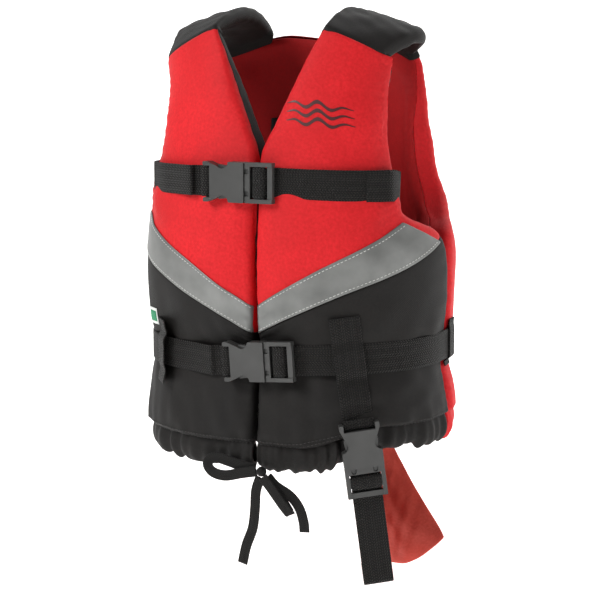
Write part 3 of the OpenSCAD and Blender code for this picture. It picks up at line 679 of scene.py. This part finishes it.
def yoke_rings(thick, inset, count_u, count_v, v0, v1, front_outer, wave=0.0, seed=5):
    v = np.linspace(v0, v1, count_v)[:, None]
    bend = np.radians(np.linspace(0, 90, 5))
    r = thick / 2 - inset
    w = YOKE_W
    flat = np.linspace(inset + r, w - inset - r, count_u)[1:-1]
    corner_u, corner_d = inset + r * (1 - np.cos(bend)), thick / 2 - r * np.sin(bend)
    top_u = np.concatenate([corner_u, flat, w - corner_u[::-1]]) / w
    top_d = np.concatenate([corner_d, 0 * flat + inset, corner_d[::-1]])
    u = np.concatenate([top_u, top_u[::-1][1:-1]])[None]
    d = np.concatenate([top_d, thick - top_d[::-1][1:-1]])[None]
    bump = wave * ripple(u * w, v * YOKE_RUN, seed, 24) * np.where(d < thick / 2, -1, 1)
    over = np.sin(np.pi * np.clip(v, 0, 1))
    puff = -0.6 - 2.0 * over * (4 * u * (1 - u)) ** 0.6
    return yoke_point(u, v, d + bump * over + puff * np.where(d < thick / 2, 1, -0.5), front_outer), np.stack(
        [(u * w + 0 * v) * MM, (v * YOKE_RUN + 0 * u) * MM + np.where(d > thick / 2, 0.07, 0)], -1)


for side, word in ((1, "left"), (-1, "right")):
    for what, thick, inset, ends, wave, mat, soft in (
        ("cover_cloth", 9.0, 0.0, (-0.03, 1.07), 0.8, BLACK, 0.7),
        ("foam_pad", 8.6, 2.2, (0.1, 0.9), 0.0, FOAM, 0.9),
    ):
        rings, uv = yoke_rings(thick, inset, 22, 56, *ends, 68 if side > 0 else 76, wave=wave, seed=5 + side)
        if side < 0:
            rings = pulled_out(mirrored(rings))
        n, m = rings.shape[:2]
        obj = add_mesh(f"shoulder_{word}_{what}", rings.reshape(-1, 3), grid_faces(n, m, True, flip=side > 0),
                       uv.reshape(-1, 2), mat)
        if what == "foam_pad":
            caps = [tuple(range(m)), tuple(range((n - 1) * m, n * m))]
            bm = bmesh.new()
            bm.from_mesh(obj.data)
            bm.verts.ensure_lookup_table()
            for c in caps:
                bm.faces.new([bm.verts[i] for i in c])
            bmesh.ops.recalc_face_normals(bm, faces=bm.faces)
            bm.to_mesh(obj.data)
            bm.free()
        else:
            modify(obj, "SOLIDIFY", thickness=SHEET_T, offset=-1)
            add_body(rings.reshape(-1, 3), grid_faces(n, m, True, flip=side > 0))
        modify(obj, "SUBSURF", levels=1, render_levels=1)
        stuffed(obj, soft, f"shoulder_{word}_{'pad' if what == 'foam_pad' else 'cover'}")

# ---------------------------------------------------------------- what lies on the cloth
RAY_FROM, RAY_TO = -35.0, 30.0  # depths between which the cloth is looked for


def search_tree(*straps):
    """Finds places on the panels and yokes, and on the given straps."""
    points, faces = [tuple(p) for p in np.concatenate(body_points)], list(body_faces)
    for obj in straps:
        start = len(points)
        points += [tuple(v.co / MM) for v in obj.data.vertices]
        faces += [tuple(i + start for i in f.vertices) for f in obj.data.polygons]
    return BVHTree.FromPolygons(points, faces)


cloth_tree = search_tree()


def rest(phi, s, out):
    """The point out mm above the cloth at an angle and height, looking from outside in."""
    a, b = skin(phi, s, RAY_FROM), skin(phi, s, RAY_TO)
    way = unit(b - a)
    hit, _, _, _ = cloth_tree.ray_cast(Vector(a), Vector(way), float(np.linalg.norm(b - a)))
    base = np.array(hit) if hit is not None else skin(phi, s, 0)
    return base - way * out


def strap_points(stations, out, half=10.0):
    """Stations over the cloth at (angle, height): the webbing bridges hollows and rides the high lines."""
    starts = np.array([skin(p, h, RAY_FROM) for p, h in stations])
    ways = np.array([unit(skin(p, h, RAY_TO) - skin(p, h, RAY_FROM)) for p, h in stations])
    reach = []
    for p, h in stations:
        nearest = 35.0
        for turn in (-2, 0, 2):
            for k in (-1, 0, 1):
                a, b = (skin(p + turn, h + k * half, d) for d in (RAY_FROM, RAY_TO))
                hit, _, _, dist = cloth_tree.ray_cast(Vector(a), Vector(unit(b - a)), 65)
                nearest = min(nearest, dist) if hit is not None else nearest
        reach.append(nearest)
    wide = np.pad(reach, 2, mode="edge")
    low = np.min([wide[k : k + len(reach)] for k in range(5)], axis=0)
    wide = np.pad(low, 2, mode="edge")
    even = np.mean([wide[k : k + len(reach)] for k in range(5)], axis=0)
    return list(starts + ways * (even - out)[:, None])


def cling(point, out):
    """The point moved to stand out mm off the nearest cloth."""
    hit, normal, _, _ = cloth_tree.find_nearest(Vector(point))
    return np.array(hit) + np.array(normal) * out


def webbing(name, centres, ups, width=WEB_W, thick=WEB_T, material=WEBBING, body="vest", cad=None):
    """Flat woven strap with rounded selvedges along centres; ups is the direction across it."""
    c = np.asarray(centres, float)
    along = unit(np.gradient(c, axis=0))
    up = unit(np.asarray(ups, float) - along * (np.asarray(ups, float) * along).sum(1, keepdims=True))
    normal = np.cross(along, up)
    xs = np.array([-0.5, -0.49, -0.46, -0.38, -0.2, 0, 0.2, 0.38, 0.46, 0.49, 0.5])
    ts = np.array([0.12, 0.32, 0.45, 0.5, 0.5, 0.5, 0.5, 0.5, 0.45, 0.32, 0.12])
    x = np.r_[xs, xs[::-1]] * width
    t = np.r_[ts, -ts[::-1]] * thick
    run = np.r_[0, np.cumsum(np.linalg.norm(np.diff(c, axis=0), axis=1))]
    rings = c[:, None] + up[:, None] * x[None, :, None] + normal[:, None] * t[None, :, None]
    n, m = rings.shape[:2]
    uv = np.stack([np.broadcast_to(x * MM, (n, m)), np.broadcast_to(run[:, None] * MM, (n, m))], -1)
    faces = grid_faces(n, m, True) + [tuple(range(m))[::-1], tuple(range((n - 1) * m, n * m))]
    obj = add_mesh(name, rings.reshape(-1, 3), faces, uv.reshape(-1, 2), material)
    fix_normals(obj)
    if body:
        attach(obj, body)
    if cad:
        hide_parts(cad)
    return obj


def fix_normals(obj):
    bm = bmesh.new()
    bm.from_mesh(obj.data)
    bmesh.ops.recalc_face_normals(bm, faces=bm.faces)
    bm.to_mesh(obj.data)
    bm.free()


STITCH_PITCH, STITCH_LONG, THREAD_R = 3.4, 2.4, 0.32
# Along a stitch: place, thickness and lift off the cloth, as shares.
STITCH_ARCH = ((0, 0.35, -0.2), (0.15, 0.9, 0.1), (0.5, 1.0, 0.3), (0.85, 0.9, 0.1), (1, 0.35, -0.2))


def stitches(name, pairs, out, material):
    """A run of separate thread stitches lying out mm off the cloth along [angle, height] pairs."""
    joined = resample(np.hstack(on_cloth(pairs, out)), STITCH_PITCH)
    points, faces = [], []
    ring = [(math.cos(a), math.sin(a)) for a in np.arange(6) * math.pi / 3]
    for k in range(len(joined) - 1):
        p, n = joined[k, :3], unit(joined[k, 3:])
        way = unit(joined[k + 1, :3] - p)
        side = np.cross(n, way)
        start = len(points)
        for at, size, lift in STITCH_ARCH:
            for c, s in ring:
                thread = (side * c + n * s) * THREAD_R * size
                points.append(p + way * at * STITCH_LONG + thread + n * lift * THREAD_R * 2)
        for i in range(4):
            for j in range(6):
                a, b = start + i * 6 + j, start + i * 6 + (j + 1) % 6
                faces.append((a, b, b + 6, a + 6))
        faces.append(tuple(range(start + 5, start - 1, -1)))
        faces.append(tuple(range(start + 24, start + 30)))
    obj = add_mesh(name, points, faces, material=material)
    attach(obj, "vest")


def on_cloth(pairs, out):
    """Points and outward directions on the cloth for [angle, height] pairs."""
    pts = np.array([rest(p, s, out) for p, s in pairs])
    outward = np.array([unit(skin(p, s, -5) - skin(p, s, 5)) for p, s in pairs])
    return pts, outward


# Gathered hem with the drawstring inside.
def casing(name, start, end, material, cad, seed):
    count = int(abs(end - start) * (1.6))
    phi = np.linspace(start, end, count)[:, None]
    turn = np.radians(np.arange(14) * 360 / 14)[None]
    arc = phi * 2.1
    pleat = ripple(arc, 0 * arc, seed, 15)
    slow = ripple(arc, 0 * arc, seed + 1, 60)
    ends = np.minimum(1, np.minimum(np.arange(count), np.arange(count)[::-1])[:, None] / 3.0 + 0.55)
    tall = (12.4 + 1.6 * pleat) * ends
    fat = (6.0 + 2.3 * np.roll(pleat, 2, axis=0)) * ends
    up, out = np.sin(turn), np.cos(turn)
    # Narrow where it is sewn on, full at the bottom, with the edge falling into small flutes.
    flutes = np.where(up < 0, up, 0) * (1.4 + 1.5 * ripple(arc, 0 * arc, seed + 4, 12))
    s = HEM_MID + 0.6 + 1.6 * slow + tall * up + 0.5 * ripple(arc, 9 * up, seed + 2, 9) + flutes
    d = 5.2 + 1.6 * np.roll(slow, 5, axis=0) - fat * out * (0.85 - 0.3 * up)
    rings = skin(phi, s, d)
    n, m = rings.shape[:2]
    uv = np.stack([arc * MM + 0 * turn, (turn * 8) * MM + 0 * arc], -1)
    faces = grid_faces(n, m, True, flip=end > start)
    obj = add_mesh(name, rings.reshape(-1, 3), faces, uv.reshape(-1, 2), material)
    fix_normals(obj)
    sheeted(obj)
    stuffed(obj, 0.4, cad)


casing("hem_left_casing_cloth", 0.9, SEAM_PHI - 0.3, BLACK, "hem_left_casing", 41)
casing("hem_right_casing_cloth", -0.9, -(SEAM_PHI - 0.3), BLACK, "hem_right_casing", 45)
casing("hem_back_casing_cloth", SEAM_PHI + 0.2, 359.8 - SEAM_PHI, RED, "hem_back_casing", 49)
for word, sign in (("left", 1), ("right", -1)):
    for k, height in enumerate((WALL_BOTTOM + 1.5, WALL_BOTTOM + 4.5)):
        pairs = [(sign * p, height) for p in np.linspace(2, 90, 60)]
        stitches(f"hem_{word}_stitching_{k + 1}", pairs, 0.25, BLACK_THREAD)
pairs = [(p, WALL_BOTTOM + 2) for p in np.linspace(94, 266, 90)]
stitches("hem_back_stitching", pairs, 0.25, BLACK_THREAD)

# Reflective tape over the seam between red and black, stitched along both edges.
for word, sign in (("left", 1), ("right", -1)):
    us = np.linspace(0.012, 0.978, 90)
    vs = np.linspace(0, 1, 11)
    low = np.array(FRONT_ROWS[5]) - [0.9, 0.9, 0, 0]
    high = np.array(FRONT_ROWS[6])
    grid = np.array([[rest(sign * mix(r[2], r[3], u), mix(r[0], r[1], u), 0.8) for u in us]
                     for r in (mix(low, high, v) for v in vs)])
    uv = np.stack(np.broadcast_arrays(us[None] * 0.2, vs[:, None] * 0.021), -1)
    tape = add_mesh(f"reflective_tape_{word}_strip", grid.reshape(-1, 3),
                    grid_faces(len(vs), len(us), flip=sign < 0), uv.reshape(-1, 2), REFLECTIVE)
    sheeted(tape, 0.0006, -0.2)
    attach(tape, "vest")
    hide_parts(f"reflective_tape_{word}")
    for k, v in enumerate((0.09, 0.91)):
        r = mix(low, high, v)
        pairs = [(sign * mix(r[2], r[3], u), mix(r[0], r[1], u)) for u in us[1:-1]]
        stitches(f"reflective_tape_{word}_stitching_{k + 1}", pairs, 0.95, PALE_THREAD)


# ---------------------------------------------------------------- webbing
def frame_axes(yaw, roll):
    y, r = math.radians(yaw), math.radians(roll)
    return (np.array([math.cos(r) * math.cos(y), math.cos(r) * math.sin(y), math.sin(r)]),
            np.array([-math.sin(r) * math.cos(y), -math.sin(r) * math.sin(y), math.cos(r)]),
            np.array([math.sin(y), -math.cos(y), 0]))


def framed(at, yaw, roll, points):
    """Points [along, outward] in a buckle's own frame."""
    x, _, z = frame_axes(yaw, roll)
    return [np.array(at) + x * p[0] + z * p[1] for p in points]


BAR_LOOP = [[-50, 0.7], [-37, 0.6], [-34.2, 0.6], [-32.8, 1.1], [-32.25, 2.2], [-32.25, 4.3], [-32.8, 5.3],
            [-34.2, 5.75], [-40, 5.6]]
LADDER_LOOP = [[7, 2.2], [7, 4.6], [7.8, 6.7], [10, 7.6], [15.4, 7.6], [17.6, 6.7], [18.4, 4.6], [18.9, 2.4],
               [21, 0.9], [27, 0.5]]
LADDER_TAIL = [[0.8, -0.3], [3.5, -0.4], [5.6, -0.2], [6.8, 0.7]]


def strap(name, path, up, step=2.2, **looks):
    """Webbing laid finely through the stations of path; up, across it, is one direction or one a station."""
    ups = 40 * unit(np.broadcast_to(np.asarray(up, float), (len(path), 3)))
    both = spline(np.hstack([np.asarray(path, float), ups]), step)
    return webbing(name, both[:, :3], both[:, 3:], **looks)


def round_edge(sign, height, out, steps):
    """Stations that take a strap round the arm edge; steps are angle past the edge and depth."""
    return [cling(skin(sign * (ARM_PHI + k), height, d), out) for k, d in steps]


_, chest_up, _ = frame_axes(0, 0)
STRAP_OUT, ARM_PHI = 1.1, 66
EDGE_STEPS = ((2.6, 2.0), (3.2, 6.0), (3.4, 13.0), (3.4, 21.0))
path = framed(CHEST_AT, 0, 0, BAR_LOOP[::-1]) + [np.array([-57, -94.2, -140])] + strap_points(
    [(p, -139.8) for p in (-46, -50, -54, -58, -62)], STRAP_OUT) + round_edge(-1, -140, 1.3, EDGE_STEPS)
strap("chest_strap_right_webbing", path, chest_up, cad="chest_strap_right")

path = framed(CHEST_AT, 0, 0, LADDER_TAIL + LADDER_LOOP)
path += strap_points([(p, -140.3) for p in (26, 31, 36, 41, 46, 50, 54, 58, 62)], STRAP_OUT)
path += round_edge(1, -141, 1.3, EDGE_STEPS)
chest_left = strap("chest_strap_left_webbing", path, chest_up, body=None, cad="chest_strap_left")
# Second ply: the strap's folded end, sewn down at the arm edge.
path = strap_points([(p, -141.2) for p in (52, 55, 58, 62)], STRAP_OUT + 1.6)
path += round_edge(1, -141.2, 2.9, ((3.0, 2.0), (3.8, 7.0), (4.0, 15.0)))
strap("chest_strap_left_sewn_end", path, chest_up, width=24.5)

belt_s = smooth([[-335, -284], [-290, -280], [-240, -279], [-180, -284], [-90, -288], [-40, -289.5]])
_, waist_up, _ = frame_axes(0, WAIST_ROLL)
upright = np.array([0, 0, 1.0])


def belt(phis):
    return strap_points([(p, float(belt_s(p))) for p in phis], STRAP_OUT)


SPLIT_PHI = -310
at_socket = framed(WAIST_AT, 0, WAIST_ROLL, BAR_LOOP[::-1] + [[-52, 2.0]])
round_body = belt(np.linspace(-36, SPLIT_PHI - 3, 46))
ups = [waist_up] * len(at_socket) + [upright] * len(round_body)
belt_round = strap("waist_belt_webbing", at_socket + round_body, ups, cad="waist_belt")
round_body = belt(np.linspace(SPLIT_PHI, -334, 5))
at_plug = framed(WAIST_AT, 0, WAIST_ROLL, (LADDER_TAIL + LADDER_LOOP)[::-1])
ups = [upright] * len(round_body) + [waist_up] * len(at_plug)
belt_front = strap("waist_belt_front_webbing", round_body + at_plug, ups, body=None)

body_and_belt = search_tree(belt_round, belt_front)
ABOVE = 40


def pressed(point, outward, out, half):
    """The point moved along outward until a strap, half to each side, is out mm off what lies below."""
    found = []
    for k in (-1, 0, 1):
        start = point + outward * ABOVE + half * k
        hit, _, _, dist = body_and_belt.ray_cast(Vector(start), Vector(-outward), 2 * ABOVE)
        if hit is not None:
            found.append(dist)
    return point + outward * (ABOVE - min(found) + out) if found else point


for name, phi, s_mid, width, reach, cad in (
    ("belt_loop_right_webbing", -51, -288.5, WEB_W, 27, "belt_loop_right"),
    ("belt_loop_left_webbing", 97, -279, 16, 20, "belt_loop_left"),
):
    way = unit(skin(phi, s_mid, -10) - skin(phi, s_mid, 0))
    side = unit(np.cross(upright, way))
    rise = np.linspace(-reach, reach, 11)
    path = [pressed(skin(phi, s_mid + k, 0), way, 1.0, side * width * 0.4) for k in rise]
    strap(name, path, side, 1.8, width=width, cad=cad)

crotch_x, crotch_y, crotch_z = frame_axes(CROTCH_YAW, CROTCH_ROLL)
path = framed(CROTCH_AT, CROTCH_YAW, CROTCH_ROLL, BAR_LOOP[::-1] + [[-56, 2.5]])
path += [pressed(np.array(CROTCH_AT) + crotch_x * x, crotch_z, 1.0, crotch_y * 10)
         for x in (-66, -72, -78, -84, -90, -96, -102, -108, -114, -120, -124)]
strap("crotch_strap_upper_webbing", path, crotch_y, cad="crotch_strap_upper")
HANGING_FOLD = [[45, 0.2], [70, 0], [92, 0.1], [98, 0], [100.6, -0.6], [101.6, -2], [100.6, -3.4],
                [98, -4], [84, -4]]
path = framed(CROTCH_AT, CROTCH_YAW, CROTCH_ROLL, LADDER_TAIL + LADDER_LOOP + HANGING_FOLD)
strap("crotch_strap_lower_webbing", path, crotch_y, 1.6, body="crotch_plug_body", cad="crotch_strap_lower")

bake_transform(chest_left)
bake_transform(belt_front)

# ---------------------------------------------------------------- crotch flap
FLAP_ROWS = np.array([
    [[-20, 82, -378], [15, 83, -378], [47, 79, -378]],
    [[16, 60, -400], [40, 64, -406], [72, 62, -402]],
    [[52, 25, -424], [68, 30, -438], [99, 40, -426]],
    [[84, -18, -446], [96, -4, -463], [121, 24, -444]],
    [[101, -58, -452], [113, -20, -465], [131, 12, -450]],
], float)
count_v, count_u = ((60, 30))
lines = [resample(spline(FLAP_ROWS[:, k], 3), 3) for k in range(3)]
lines = np.array([[np.interp(t, np.linspace(0, 1, len(a)), a[:, c]) for c in range(3)]
                  for a in lines for t in np.linspace(0, 1, count_v)]).reshape(3, count_v, 3)
u = np.linspace(0, 1, count_u)[None, :, None]
a, b, c = (lines[k][:, None] for k in range(3))
flap_grid = a * (1 - u) * (1 - 2 * u) + 4 * b * u * (1 - u) + c * u * (2 * u - 1)
u2, v2 = np.meshgrid(np.linspace(0, 1, count_u), np.linspace(0, 1, count_v))
side_ways = unit(np.cross(np.gradient(flap_grid, axis=0), np.gradient(flap_grid, axis=1)))
crease = 1.7 * ripple(u2 * 62 - v2 * 34, v2 * 24, 61, 26) + 0.8 * ripple(u2 * 62 + v2 * 30, v2 * 60, 62, 14)
crease = crease * (0.25 + 0.75 * np.sin(np.pi * v2) ** 0.7)
flap_grid = flap_grid + side_ways * crease[..., None]
flap = add_mesh("crotch_flap_cloth", flap_grid.reshape(-1, 3), grid_faces(count_v, count_u),
                np.stack([u2 * 0.065, v2 * 0.17], -1).reshape(-1, 2), LIT_FLAP_RED)
sheeted(flap, offset=0)
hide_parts("crotch_flap")
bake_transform(flap)

# ---------------------------------------------------------------- drawstring
ROUTES = {
    "drawstring_bow_right": ([[5.5, -99.4, -379], [-8, -99.4, -382], [-24, -99.3, -386], [-36, -99, -384],
                              [-41, -98.3, -377], [-34, -97.2, -372], [-22, -96.6, -374], [-8, -96.6, -377],
                              [3.5, -96.6, -378]], (0.05, -1, 0.1), "knot"),
    "drawstring_bow_left": ([[12, -100.9, -383], [20, -101.1, -392], [30, -101.3, -404], [37, -100.5, -412],
                             [34, -98.4, -409], [26, -97.5, -399], [16, -97.4, -387]], (0, -1, 0), "knot"),
    "drawstring_end_long": ([[9, -99.2, -384], [5, -99.2, -396], [4, -99.4, -412], [2, -99.6, -428],
                             [-4, -99.5, -444], [-8, -99, -460]], (0, -1, 0), "bare"),
    "drawstring_end_short": ([[14, -95.8, -383.5], [22, -95.6, -391], [35, -95.6, -398], [43, -95.8, -407],
                              [47, -96, -418], [48, -96, -427]], (0, -1, 0), "bare"),
}
run = [skin(p, HEM_MID, 5.5) for p in np.linspace(4, 356, 90)]
TAPE = {"width": TAPE_W, "thick": TAPE_T, "material": TAPE_CORD}
strap("drawstring_run_tape", run, upright, cad="drawstring_run", **TAPE)
for name, (route, side, far_end) in ROUTES.items():
    line = spline(route, 1.6)
    along = unit(np.gradient(line, axis=0))
    normal = unit(np.array(side, float) - along * (along @ np.array(side, float))[:, None])
    across = np.cross(normal, along)
    tape = webbing(f"{name}_tape", line, across, cad=name, **TAPE)
    run = np.linalg.norm(np.diff(line, axis=0), axis=1).sum()

# ---------------------------------------------------------------- small sewn and printed items
for name, phi, s, w_deg, high, mat, lift in (("side_tag_label", -61, -262, 6.4, 14, WHITE_TAG, 0.5),
                                             ("side_tag_field", -61, -262, 5.0, 9.0, GREEN_TAG, 0.9)):
    grid = np.array([[rest(phi + u * w_deg, s + v * high, lift) for u in np.linspace(-0.5, 0.5, 6)]
                     for v in np.linspace(-0.5, 0.5, 6)])
    tag = add_mesh(name, grid.reshape(-1, 3), grid_faces(6, 6), material=mat)
    modify(tag, "SOLIDIFY", thickness=0.0004, offset=0)
    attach(tag, "vest")
    if name.endswith("label"):
        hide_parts("side_tag")
grid = np.array([[cling(skin(221 + u * 9, -97 + v * 17, 26), 0.6) for u in np.linspace(-0.5, 0.5, 6)]
                 for v in np.linspace(-0.5, 0.5, 7)])
label = add_mesh("inner_label_patch", grid.reshape(-1, 3), grid_faces(7, 6), material=TAPE_CORD)
modify(label, "SOLIDIFY", thickness=0.0006, offset=0)
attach(label, "vest")
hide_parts("inner_label")

waves, wave_faces = [], []
for offset in (-7, 0, 7):
    t = np.linspace(0, 1, 60)
    for k, v in enumerate((-1.6, -0.5, 0.5, 1.6)):
        for x in t:
            bend = 3 * math.sin(math.radians(x * 900)) * math.sin(math.radians(x * 180))
            line_half = v * math.sin(math.radians(x * 160 + 10))
            waves.append(rest(mix(17, 50, x), -83 + offset + bend + line_half, 0.35))
    start = len(waves) - 240
    wave_faces += [tuple(i + start for i in f) for f in grid_faces(4, 60)]
chest_print = add_mesh("chest_print_waves", waves, wave_faces, material=DARK_PRINT)
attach(chest_print, "vest")
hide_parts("chest_print")

# ---------------------------------------------------------------- moulded parts kept from the CAD
for cad_name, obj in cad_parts.items():
    if obj.hide_render:
        continue
    obj.data.materials.clear()
    plastic = ACETAL_LATCH if "latch" in cad_name else ACETAL
    obj.data.materials.append(TAPE_CORD if "drawstring" in cad_name else plastic)
    if "socket" in cad_name or "plug" in cad_name or "latch" in cad_name:
        modify(obj, "BEVEL", width=0.0007, segments=3, limit_method="ANGLE", angle_limit=math.radians(35))
        modify(obj, "WEIGHTED_NORMAL", keep_sharp=True)

# ---------------------------------------------------------------- floor, light and camera
floor_mat, _, floor_shader = new_material("pale_studio_paper", "F6F6F4", 0.9)
floor_shader.inputs["Emission Color"].default_value = (1, 1, 1, 1)
floor_shader.inputs["Emission Strength"].default_value = 0.8
# A paper sweep: flat underfoot, curving up behind the vest.
sweep = [(-9000, 0.0)]
sweep += [(1400 + 900 * math.sin(a), 900 * (1 - math.cos(a))) for a in np.linspace(0, math.pi / 2, 24)]
sweep += [(2300, 4000)]
floor = add_mesh("studio_paper", [(x, y, z - 478) for y, z in sweep for x in (-9000, 9000)],
                 [(2 * k, 2 * k + 1, 2 * k + 3, 2 * k + 2) for k in range(len(sweep) - 1)], material=floor_mat)


def direction(az, el):
    """Unit direction from the vest at degrees round to the wearer's left and degrees up."""
    a, e = math.radians(az), math.radians(el)
    return Vector((math.sin(a) * math.cos(e), -math.cos(a) * math.cos(e), math.sin(e)))


def soft_light(name, az, el, distance, size, watts):
    data = bpy.data.lights.new(name, "AREA")
    data.shape, data.size, data.energy = "DISK", size, watts
    obj = bpy.data.objects.new(name, data)
    way = direction(az, el)
    obj.location = Vector((0, 0, -0.24)) + way * distance
    obj.rotation_euler = way.to_track_quat("Z", "Y").to_euler()
    bpy.context.scene.collection.objects.link(obj)


soft_light("key_softbox", -34, 38, 1.7, 0.9, 23)
soft_light("fill_softbox", 82, 12, 1.8, 1.2, 6)
soft_light("back_softbox", 160, 48, 1.8, 1.0, 9)
world = bpy.data.worlds.new("studio")
world.use_nodes = True
world.node_tree.nodes["Background"].inputs["Color"].default_value = (1, 1, 1, 1)
world.node_tree.nodes["Background"].inputs["Strength"].default_value = 0.13
bpy.context.scene.world = world
bpy.context.scene.view_settings.view_transform = "Standard"

camera_data = bpy.data.cameras.new("camera")
camera_data.lens, camera_data.sensor_width, camera_data.shift_x = 103.4, 36, -0.0017
camera = bpy.data.objects.new("camera", camera_data)
way = direction(25, 9)
camera.location = Vector((0, 0, -0.25)) + way * 1.5
camera.rotation_euler = way.to_track_quat("Z", "Y").to_euler()
bpy.context.scene.collection.objects.link(camera)
bpy.context.scene.camera = camera
